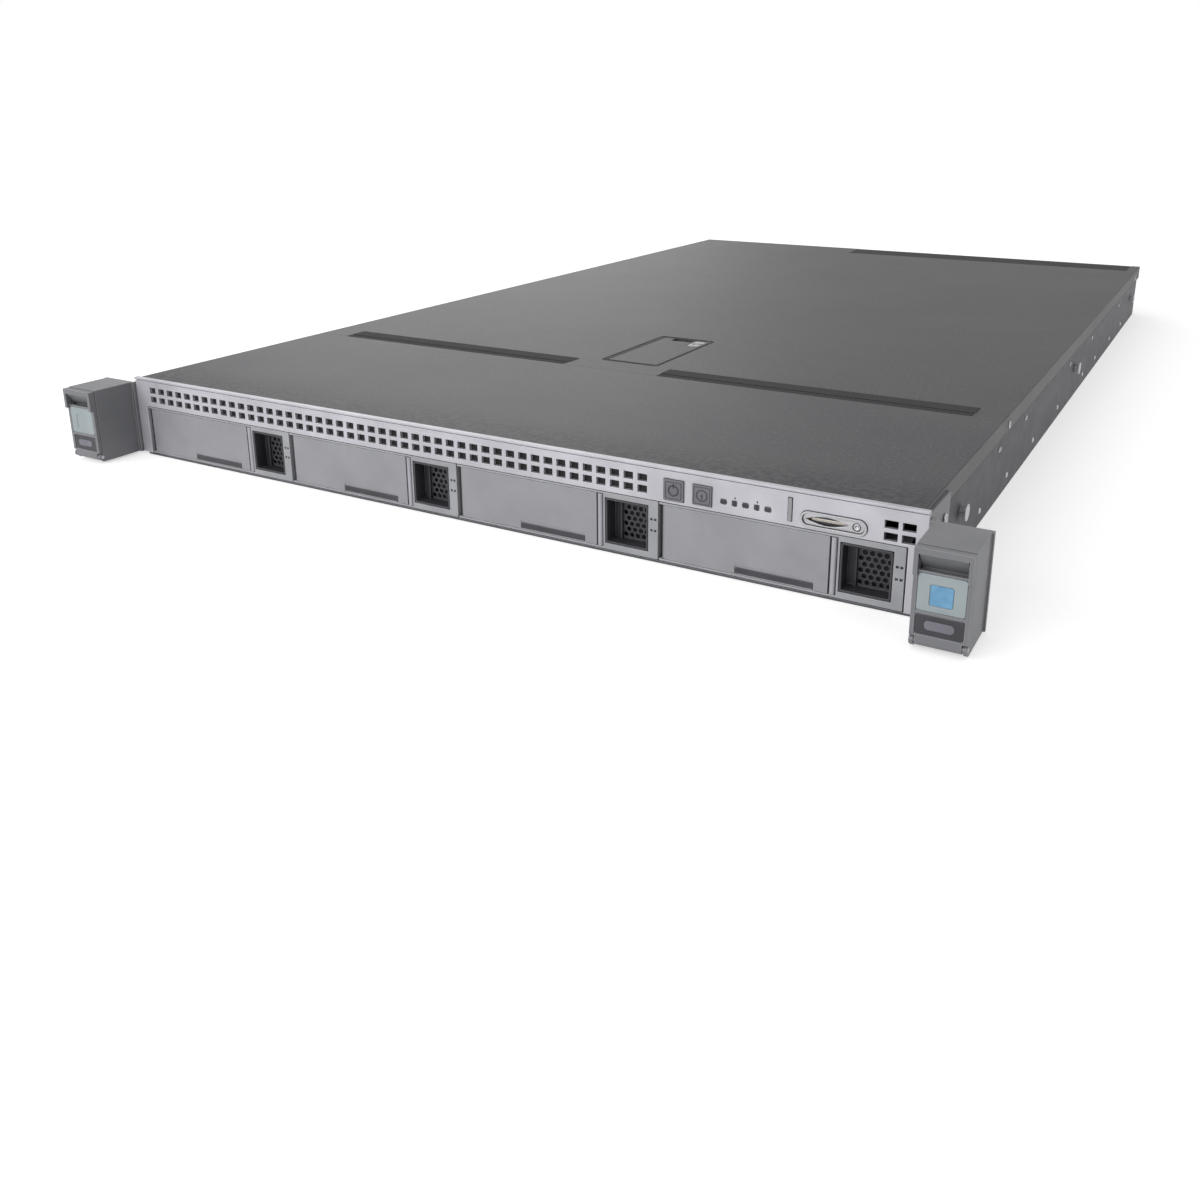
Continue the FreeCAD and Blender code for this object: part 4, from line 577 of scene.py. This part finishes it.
def fit(name, body, material, parts, smooth=False):
    """One object from placed meshes, which rides on a body and takes its finish from a slot."""
    form = bmesh.new()
    for mesh, place in parts:
        copy = mesh.copy()
        copy.transform(place)
        form.from_mesh(copy)
        bpy.data.meshes.remove(copy)
    mesh = bpy.data.meshes.new(name)
    form.to_mesh(mesh)
    form.free()
    made = bpy.data.objects.new(name, mesh)
    bpy.context.collection.objects.link(made)
    mesh.materials.append(material)
    if smooth:
        for polygon in mesh.polygons:
            polygon.use_smooth = True
    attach(made, body)
    return made


# %% Places read from the record
openings = {o["name"]: [Vector(corner) for corner in o["box_m"]]
            for o in frame["record"]["physics"]["openings"]}


def centre(box):
    """Middle of a box given by its two corners."""
    low, high = box
    return (low + high) / 2


def at(place, x=0.0, y=0.0, z=0.0):
    """A place moved by millimetres."""
    return place + Vector((x, y, z)) * mm


print("openings to dress:", sorted(openings))

# %% [markdown]
# ## Finger recesses of the drives
#
# Beside each release button is a pocket for a fingertip.  On the real carrier it is a separate
# black insert: a smooth box whose back is a honeycomb grille, so that air still reaches the
# drive.  Its left third is plain, because the release catch runs behind it.  We build its four
# walls, a rib and a grille with hexagonal holes, and press the insert into each pocket.  A black
# plate behind the holes is painted shade, standing for the dark inside of the carrier.

# %% Recess inserts
insert_wall = 0.8
hole_radius, hole_pitch = 1.12, 2.9
row_step = hole_pitch * 0.866  # rows of a honeycomb lie half the root of three apart
plain_width = 6.2


def recess_insert(low, high):
    """Placed meshes of one insert, and those of the black plate of painted shade behind its grille.
    """
    width, depth, height = (high - low) / mm
    inner_width, inner_height = width - 2 * insert_wall, height - 2 * insert_wall
    walls = stamped([rounded(width, height, 0.9), rounded(inner_width, inner_height, 0.6)],
                    depth - 1.2, edge=0.12)
    rib = stamped([rounded(0.9, inner_height, 0.3, (-width / 2 + 4.6, 0))], 3.2, edge=0.15,
                  lift=0.6)
    holes = []
    rows = int((inner_height - 2.4) / row_step)
    for row in range(rows + 1):
        x = -width / 2 + plain_width + (hole_pitch / 2 if row % 2 else 0)
        while x <= width / 2 - insert_wall - 1.2:
            holes.append(ring(hole_radius, (x, (row - rows / 2) * row_step), 6, 30))
            x += hole_pitch
    grille = stamped([rounded(width - 0.2, height - 0.2, 0.5)] + holes, 0.7)
    plate = stamped([rounded(width - 0.4, height - 0.4, 0.5)], 0.1)
    back = centre((low, high))
    back.y = high.y - 0.15 * mm
    return ([facing(walls, "front", back), facing(rib, "front", back),
             facing(grille, "front", at(back, y=-1.6))], [facing(plate, "front", at(back, y=-0.1))])


for bay in (1, 2, 3, 4):
    pieces, painted_shade_plate = recess_insert(*openings[f"finger_recess_{bay}"])
    insert = fit(f"finger_recess_insert_{bay}", f"drive_{bay}", mesh_plastic,
                 pieces)
    # black plate of painted shade behind the grille holes
    fit(f"finger_recess_backing_{bay}", f"drive_{bay}", black_plastic, painted_shade_plate)
print("recess insert has", len(insert.data.polygons), "faces")

# %% [markdown]
# ## Label plates of the drives
#
# A shallow seat at the foot of each lever takes a label plate.  Ours is a bare anodised strip
# with a raised border, dark like the printed one it stands for.

# %% Label plates
dark_anodised = moulded_plastic("black_anodised_aluminium_plate", "3a3a3e", "45454a", "77777c",
                                grain=0.5, height=0.015, roughness=0.38, metal=0.4)
label_width, label_height, label_seat, label_from_end = 34.0, 3.8, 0.3, 5.8
border = stamped([rounded(label_width - 0.4, label_height - 0.4, 0.5),
                  rounded(label_width - 1.6, label_height - 1.6, 0.3)], 0.28, edge=0.06)
plate = stamped([rounded(label_width - 0.6, label_height - 0.6, 0.4)], 0.12)
for bay in (1, 2, 3, 4):
    low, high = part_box(f"ejector_lever_{bay}")
    place = at(Vector((high.x, low.y, low.z)), -label_from_end - label_width / 2, label_seat,
               label_seat + label_height / 2)
    fit(f"drive_label_plate_{bay}", f"ejector_lever_{bay}", dark_anodised,
        [facing(border, "front", place), facing(plate, "front", place)])
print("label plate centre, mm:", [round(c / mm, 1) for c in place])

# %% [markdown]
# ## Drive lamps
#
# Each carrier has four small holes in the column beside its recess.  A light pipe ends in each
# of them as a tiny polished dome.  A dome is a turned shape: a short wall, then a quarter arc.

# %% Drive lamp lenses
lens_dark = moulded_plastic("smoked_acrylic_lens", "26262b", "303036", "5a5a62", height=0.003,
                            roughness=0.16)
dome = turned([(0.5, 0.0), (0.5, 0.42), (0.44, 0.56), (0.3, 0.66), (0.14, 0.7), (0, 0.71)], 12)
opening_margin = 0.3  # the record's opening is this much smaller than the pocket
lamp_column = 4.5
lamp_shares = (lamp_column / 3, lamp_column * 2 / 3 + 0.275)
lamp_rises = (17.7, 12.7)
for bay in (1, 2, 3, 4):
    carrier_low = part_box(f"carrier_{bay}")[0]
    corner = Vector((openings[f"finger_recess_{bay}"][1].x, carrier_low.y, carrier_low.z))
    lenses = [facing(dome, "front", at(corner, opening_margin + share, 0.8, rise))
              for share in lamp_shares for rise in lamp_rises]
    fit(f"drive_lamps_{bay}", f"drive_{bay}", lens_dark, lenses, smooth=True)
print("lamps per drive:", len(lenses))

# %% [markdown]
# ## Badges on the ears
#
# Each slam lever carries two shallow seats.  In the upper one sits a frosted plate with a small
# square window, which on the right lever holds an enamel tile.  In the lower one sits a dark
# plate with a grey tablet.  All are bare: a maker would print on them.  The enamel is fired
# glass, so it gets a glossy coat over its blue.

# %% Badge finishes
frosted_plate = moulded_plastic("frosted_polycarbonate_plate", "939ea2", "9ca6a9", "c0c8ca",
                                grain=0.5, height=0.01, roughness=0.42)
grey_tablet = moulded_plastic("grey_screened_tablet", "6d6c76", "7a7983", "9b9aa4", grain=0.4,
                              height=0.01, roughness=0.4)
blue_enamel, tree, surface, place = new_material("fired_blue_enamel", Roughness=0.3, IOR=1.5,
                                                 Coat_Weight=0.6, Coat_Roughness=0.08)
normal, edges = skin(tree, place, grain=1.6, height=0.02, corner=0.5)
deep = mottled(tree, place, "548fb6", "6ba3c6", patch=5)
tree.links.new(blend(tree, edges, deep, tint("3f6f92")), surface.inputs["Base Color"])
tree.links.new(normal, surface.inputs["Normal"])

# %% Badges
badge_inset = 1.6
badge_seat = 1.6 + 0.5  # the lever's face lies this far behind its brow, plus the seat's depth
upper_seat_z, lower_seat_z = 23.0, 10.6
window_middle = (0, -0.7)
for side in ("right", "left"):
    body = f"slam_lever_{side}"
    low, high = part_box(body)
    width = (high.x - low.x) / mm - 2 * badge_inset
    seat = Vector(((low.x + high.x) / 2, low.y + badge_seat * mm, 0))
    upper, lower = at(seat, z=upper_seat_z), at(seat, z=lower_seat_z)
    surround = stamped([rounded(width - 0.4, 14.0, 1.0), rounded(8.6, 8.2, 0.8, window_middle)],
                       0.5, edge=0.12)
    pane = stamped([rounded(9.4, 9.0, 0.6, window_middle)], 0.2)
    fit(f"badge_frame_{side}", body, frosted_plate,
        [facing(surround, "front", upper), facing(pane, "front", upper)])
    if side == "right":
        tile = stamped([rounded(8.2, 7.8, 0.7, window_middle)], 0.45, edge=0.15)
        fit("badge_tile_right", body, blue_enamel, [facing(tile, "front", upper)])
    dark = stamped([rounded(width - 0.4, 7.6, 0.9)], 0.3, edge=0.1)
    tablet = stamped([rounded(width - 7.0, 3.4, 1.4)], 0.5, edge=0.12)
    fit(f"badge_plate_{side}", body, dark_anodised,
        [facing(dark, "front", lower)])
    fit(f"badge_tablet_{side}", body, grey_tablet, [facing(tablet, "front", lower)])
print("badge width, mm:", round(width, 1))

# %% [markdown]
# ## Buttons and status lamps
#
# The power button has a ring-shaped light pipe with a bar, and the locator button a ring round a
# dot and a stem, both raised a hair above the cap.  The five status lamps are dark acrylic
# windows of two shapes, wide and narrow, set in a row.

# %% Marks on the buttons
mark_thick, mark_edge, mark_sink = 0.16, 0.04, 0.02


def mark(width, height, radius=0.2, middle=(0, 0)):
    """Thin raised mark, less than a fifth of a millimetre."""
    return stamped([rounded(width, height, radius, middle, 2)], mark_thick, mark_edge)


def frame_mark(outer, inner):
    """Thin raised line round an outline."""
    return stamped([outer, inner], mark_thick, mark_edge)


marks = {"power_button": [frame_mark(ring(2.5), ring(1.9)), mark(0.55, 2.2, 0.25, (0, 2.0))],
         "id_button": [frame_mark(ring(2.6), ring(2.1)), mark(1.0, 1.0, 0.48),
                       mark(0.5, 1.4, 0.2, (0, -1.1))]}
border = frame_mark(rounded(7.4, 7.4, 0.6), rounded(6.9, 6.9, 0.5))
for button, parts in marks.items():
    cap = centre(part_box(button))
    cap.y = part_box(button)[0].y + mark_sink * mm
    fit(f"{button}_mark", button, lens_dark,
        [facing(part, "front", cap) for part in (*parts, border)])
print("marked buttons:", list(marks))

# %% Status lamp windows
low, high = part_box("status_lights")
lamp_count, lamp_size = 5, 2.2
lamp_pitch = ((high.x - low.x) / mm - lamp_size) / (lamp_count - 1)
first = Vector((low.x + lamp_size / 2 * mm, low.y + mark_sink * mm, (low.z + high.z) / 2))
lamp_windows = []
for index in range(lamp_count):
    width, height = ((2.9, 1.5), (0.9, 2.6))[index % 2]
    place = at(first, x=index * lamp_pitch)
    window = stamped([rounded(width, height, 0.3)], 0.22, edge=0.06)
    lamp_windows.append(facing(window, "front", place))
    if index % 2:
        lamp_windows.append(facing(mark(0.5, 0.9, 0.2, (0.2, 2.3)), "front", place))
fit("status_lamp_windows", "chassis", lens_dark, lamp_windows)
print("status lamps:", lamp_count, "pitch", round(lamp_pitch, 2), "mm")

# %% [markdown]
# ## Console connector
#
# The stadium-shaped shell on the right takes a console cable.  Inside it, the real one has a
# face plate with a slim mouth, a black insulator with gold leaves behind it, and a jack screw
# to one side.  We press a plate with a lens-shaped mouth into the shell and turn the screw.

# %% Console connector insides
def lens_outline(width, height, middle=(0, 0), steps=9):
    """Mouth with pointed ends: two shallow arcs."""
    return [(middle[0] + sign * (width / 2 - width * step / steps),
             middle[1] + sign * height / 2 * math.sin(math.pi * step / steps))
            for sign in (1, -1) for step in range(steps)]


insulator = moulded_plastic("black_polyester_insulator", "17171a", "1e1e21", "38383d",
                            height=0.01)
mouth_middle, screw_x = (-2.6, 0), 9.3
mouth = centre(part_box("kvm_connector"))
mouth.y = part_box("kvm_connector")[0].y
face = stamped([rounded(24.7, 4.5, 2.2, steps=8), lens_outline(17.6, 3.5, mouth_middle),
                ring(1.7, (screw_x, 0))], 0.7, edge=0.12)
block = stamped([rounded(24.6, 4.4, 2.1, steps=8)], 0.8)
jack_screw = turned([(1.5, 0), (1.5, 1.5), (1.2, 1.9), (0.9, 1.9), (0.75, 1.2), (0, 1.1)], 16)
leaf_count, leaf_pitch, first_leaf = 17, 0.9, -10
leaves = [facing(mark(0.34, 0.5, 0.1, (first_leaf + leaf_pitch * k, 0)), "front",
                 at(mouth, y=1.85)) for k in range(leaf_count)]
fit("console_connector_face", "chassis", connector_nickel,
    [facing(face, "front", at(mouth, y=1.4))])
fit("console_connector_block", "chassis", insulator,
    [facing(block, "front", at(mouth, y=2.7))])
fit("console_jack_screw", "chassis", zinc_hardware,
    [facing(jack_screw, "front", at(mouth, screw_x, 2.6))], smooth=True)
fit("console_contacts", "chassis", contact_gold, leaves)
print("console contacts:", len(leaves))

# %% [markdown]
# ## Screws and rivets
#
# Small pan-head screws hold the ears, the rear wall and the covers.  A head is a disc with
# rounded edges and a cross recess punched through it, over a smaller disc that closes the
# recess.  Rivets and slotted rivets sit in rows along the side walls.

# %% Screw and rivet meshes
def screws(name, body, side, radius, places):
    """A set of screws on one side, as one piece."""
    head = stamped([ring(radius, steps=18), cross(radius * 1.15, radius * 0.3)], radius * 0.42,
                   edge=radius * 0.14)
    recess_floor = stamped([ring(radius * 0.7, steps=12)], radius * 0.1)
    return fit(name, body, zinc_hardware,
               [facing(mesh, side, place, 20 * k) for k, place in enumerate(places)
                for mesh in (head, recess_floor)])


rivet = turned([(1.5, 0.0), (1.45, 0.25), (1.1, 0.5), (0.6, 0.62), (0, 0.65)], 14)
slot_rivet = stamped([rounded(5.4, 2.0, 0.95, steps=6), rounded(3.9, 0.7, 0.3)], 0.4, edge=0.1)

# %% Hardware on the side walls
wall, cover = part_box("chassis_tray"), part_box("top_cover")
ear_flange = 3.0
rivet_rows, rivet_z = (-250, -190, -120, -40, 60, 120, 200, 270), 7
slot_rows, slot_z = (-215, -150, -5, 90, 240), 27
cover_screw_rows, cover_screw_z = (-205, 330), 37.2
for side, sign, end in (("right", 1, 1), ("left", -1, 0)):
    wall_x, skirt_x = wall[end].x, cover[end].x
    ear_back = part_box(f"ear_bracket_{side}")[1].y
    screws(f"ear_screws_{side}", "chassis", side, 2.3,
           [at(Vector((wall_x, ear_back, 0)), sign * ear_flange, -8, z) for z in (12, 31)])
    fit(f"side_rivets_{side}", "chassis", zinc_hardware,
        [facing(rivet, side, Vector((wall_x, y * mm, rivet_z * mm))) for y in rivet_rows],
        smooth=True)
    fit(f"side_slots_{side}", "chassis", zinc_hardware,
        [facing(slot_rivet, side, Vector((wall_x, y * mm, slot_z * mm))) for y in slot_rows])
    screws(f"cover_screws_{side}", "top_cover", side, 1.9,
           [Vector((skirt_x, y * mm, cover_screw_z * mm)) for y in cover_screw_rows])
print("rivet rows at y, mm:", rivet_rows)

# %% [markdown]
# ## Painted shade on the top
#
# The cover leaves two long notches behind the fixed panel, where its tongues hook in.  Dark foam
# fills each of them, with a thin flap that lies on the cover behind it: painted shade, standing
# for the shadow in the notch.  The sunk strip along the rear edge carries the same painted shade
# and flap, and a narrow dark ring round the cover latch paints the shade of its gap.  Foam is a
# mass of open cells, so a fine Voronoi pattern pits its surface.

# %% Foam
def cell_foam(name, low, high):
    """Open-cell polyurethane foam with half-millimetre pores, drawn at 1.2 mm to show."""
    foam, tree, surface, place = new_material(name, Roughness=0.95, IOR=1.4)
    cells = node(tree, "ShaderNodeTexVoronoi", {"Vector": place, "Scale": per_mm(1.2)})
    pores = remap(tree, cells.outputs["Distance"], (0.0, 0.7))
    bump = node(tree, "ShaderNodeBump", {"Height": pores, "Distance": 0.15 * mm,
                                         "Strength": 1.0})
    tree.links.new(blend(tree, pores, tint(low), tint(high)), surface.inputs["Base Color"])
    tree.links.new(bump.outputs[0], surface.inputs["Normal"])
    return foam


# dark foam that paints the shade of the notches, the sunk strip and the latch gap
painted_shade_foam = cell_foam("grey_foam_painted_shade", "2b2b2d", "3a3a3c")

# %% Painted shade in the notches and along the rear edge
flap_thick, flap_edge = 0.14, 0.04
cover_low, cover_high = cover
notch_y = cover_low.y + 3.3 * mm
shade_strips = []
for left, right in ((-193.5, -30.0), (30.0, 200.0)):
    strip = stamped([rounded(right - left - 0.6, 6.2, 0.5)], 1.6, edge=0.25)
    flap = stamped([rounded(right - left + 1.0, 11.0, 0.8)], flap_thick, flap_edge)
    notch = Vector(((left + right) / 2 * mm, notch_y, cover_high.z))
    shade_strips += [facing(strip, "top", at(notch, z=-1.7)), facing(flap, "top", at(notch, y=8.4))]
# strips in the notches and flaps on the cover: painted shade of the notches
fit("notch_painted_shade", "top_cover", painted_shade_foam, shade_strips)
sunk = stamped([rounded(253.2, 21.4, 0.6)], 0.9, edge=0.15)
sunk_flap = stamped([rounded(253.6, 12.0, 0.8)], flap_thick, flap_edge)
rear_edge = Vector((80 * mm, cover_high.y, cover_high.z))
# strip and flap: painted shade of the sunk rear strip
fit("rear_edge_painted_shade", "top_cover", painted_shade_foam,
    [facing(sunk, "top", at(rear_edge, y=-10.9, z=-1.0)),
     facing(sunk_flap, "top", at(rear_edge, y=-27.6))])
print("notch seals at y, mm:", round(notch_y / mm, 1))

# %% Painted shade round the latch, and the latch pad
latch_low, latch_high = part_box("cover_latch")
latch = centre((latch_low, latch_high))
latch.z = cover_high.z
shade_ring_size = ((latch_high.x - latch_low.x) / mm + 4.2, (latch_high.y - latch_low.y) / mm + 4.2)
latch_shade_ring = stamped([rounded(*shade_ring_size, 2.2),
                      rounded(shade_ring_size[0] - 3.2, shade_ring_size[1] - 3.2, 1.2)], flap_thick, flap_edge)
# ring round the latch: painted shade of its gap
fit("latch_gap_painted_shade", "top_cover", painted_shade_foam,
    [facing(latch_shade_ring, "top", latch)])
pad = stamped([rounded(7.0, 14.4, 0.7), ring(3.2, (0, 0), 24)], 0.3, edge=0.08)
lock = centre(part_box("latch_lock"))
lock.z = latch_high.z - 0.4 * mm
fit("latch_pad", "cover_latch", dark_anodised, [facing(pad, "top", lock)])
print("latch seal, mm:", [round(side, 1) for side in shade_ring_size])

# %% [markdown]
# ## Painted shade behind the bezel vents
#
# Air passes the vents into a dark duct.  A black sheet right behind the bezel closes it to the
# eye: painted shade, standing for the dark inside of the duct.

# %% Painted shade in the vent duct
# near-black sheet that paints the shade inside the duct
duct_painted_shade = moulded_plastic("painted_shade_duct_sheet", "0b0b0c", "121213", "1a1a1c",
                             roughness=0.8)
duct_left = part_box("front_bezel")[0].x + 8 * mm
duct_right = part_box("power_button")[0].x - 6 * mm
duct_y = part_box("front_top_panel")[0].y - 0.05 * mm
duct_z = 33.9
shade_sheet = stamped([rounded((duct_right - duct_left) / mm, 11.0, 0.5)], 0.15)
fit("vent_duct_painted_shade", "chassis", duct_painted_shade,
    [facing(shade_sheet, "front", Vector(((duct_left + duct_right) / 2, duct_y, duct_z * mm)))])
print("duct liner, mm:", round((duct_right - duct_left) / mm, 1))

# %% [markdown]
# ## Painted highlight along both covers
#
# The folded skirts of the two covers face sideways and catch more light than the flat top, so
# they show as a long pale line above the side wall.  A thin skin of lighter coat on each skirt
# paints that line: it is a painted highlight.  The skin of the fixed panel is as long as the panel
# with its hidden flange, so its last 12 mm lie over the start of the cover's skin.

# %% Skirt skins of painted highlight
# lighter coat whose only job is to paint the skirts' highlight
skirt_painted_highlight = powder_coat("powder_coat_skirt_painted_highlight", "707072", "79797b")
skin_height, skin_z, skin_trim, flange_length = 8.4, 38.2, 1.0, 14.0
panel_low, panel_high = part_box("front_top_panel")
for name, body, front, (low, high) in (
        ("top_cover", "top_cover", panel_high.y - flange_length * mm, cover),
        ("front_top_panel", "chassis", panel_low.y, (panel_low, panel_high))):
    reach = (high.y - front) / mm - 2 * skin_trim
    skin_mesh = stamped([rounded(reach, skin_height, 0.5)], 0.12, edge=0.03)
    for side, x in (("right", high.x), ("left", low.x)):
        middle = Vector((x, front + (skin_trim + reach / 2) * mm, skin_z * mm))
        fit(f"{name}_skirt_{side}", body, skirt_painted_highlight,
            [facing(skin_mesh, side, middle)])
print("skirt skin length, mm:", round(reach, 1))

# %% [markdown]
# ## Sockets of the rear wall
#
# Each network jack holds eight gold springs.  The screen socket has a blue insert with fifteen
# holes, and two hexagonal posts that its plug screws onto.  Each power supply shows one round
# lamp.  They are the small signs that tell a socket from a plain hole.

# %% Network jacks
spring_count, spring_pitch = 8, 1.02
spring = stamped([rounded(0.42, 1.3, 0.15)], 6.0, edge=0.08)
for jack in (1, 2, 3, 4):
    low, high = openings[f"network_jack_{jack}"]
    top_middle = Vector(((low.x + high.x) / 2, low.y, high.z))
    springs = [facing(spring, "rear", at(top_middle, (k - (spring_count - 1) / 2) * spring_pitch,
                                         0.4, -0.9)) for k in range(spring_count)]
    fit(f"jack_springs_{jack}", "chassis", contact_gold, springs)
print("springs per jack:", len(springs))

# %% Screen socket
vga_blue = moulded_plastic("blue_polyester_insert", "24457c", "2c5090", "4f74b4", height=0.01,
                           roughness=0.4)
socket = centre(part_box("vga_port"))
socket.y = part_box("vga_port")[1].y - 1.6 * mm
pin_pitch, pin_rows = 2.3, ((2.0, 0.0), (0.0, -0.9), (-2.0, 0.0))
pins = [ring(0.42, (pin_pitch * (k - 2) + shift, level), 10)
        for level, shift in pin_rows for k in range(5)]
insert_face = stamped([rounded(14.8, 6.4, 1.4)] + pins, 1.2, edge=0.1)
fit("screen_socket_insert", "chassis", vga_blue,
    [facing(insert_face, "rear", socket)])
post = turned([(2.5, 0), (2.5, 3.6), (2.2, 4.2), (1.4, 4.2), (1.2, 3.0), (0, 2.9)], 6, 30)
wall_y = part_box("rear_panel")[1].y
post_reach = 12.5
fit("screen_socket_posts", "chassis", zinc_hardware,
    [facing(post, "rear", Vector((socket.x + side * post_reach * mm, wall_y, socket.z)))
     for side in (-1, 1)])
print("holes in the screen socket:", len(pins))

# %% Power supply lamps, and screws of the rear wall
green_lens = moulded_plastic("green_acrylic_lens", "2f8f4e", "3aa55c", "8fd8a6", height=0.003,
                             roughness=0.15)
supply_lamp = turned([(1.5, 0), (1.5, 0.3), (1.2, 0.6), (0.6, 0.75), (0, 0.8)], 16)
supply_lamp_z = 34.5
for number in (1, 2):
    inlet_x = openings[f"power_inlet_{number}"][0].x
    place = Vector((inlet_x - 1.6 * mm, wall_y, supply_lamp_z * mm))
    fit(f"power_supply_lamp_{number}", f"power_supply_{number}", green_lens,
        [facing(supply_lamp, "rear", place)], smooth=True)
wall_screws = ((-207, 31), (-207, 9), (-110, 34), (-28, 34), (8, 12))
screws("rear_wall_screws", "chassis", "rear", 1.9,
       [Vector((x * mm, wall_y, z * mm)) for x, z in wall_screws])
print("rear wall screws:", len(wall_screws))
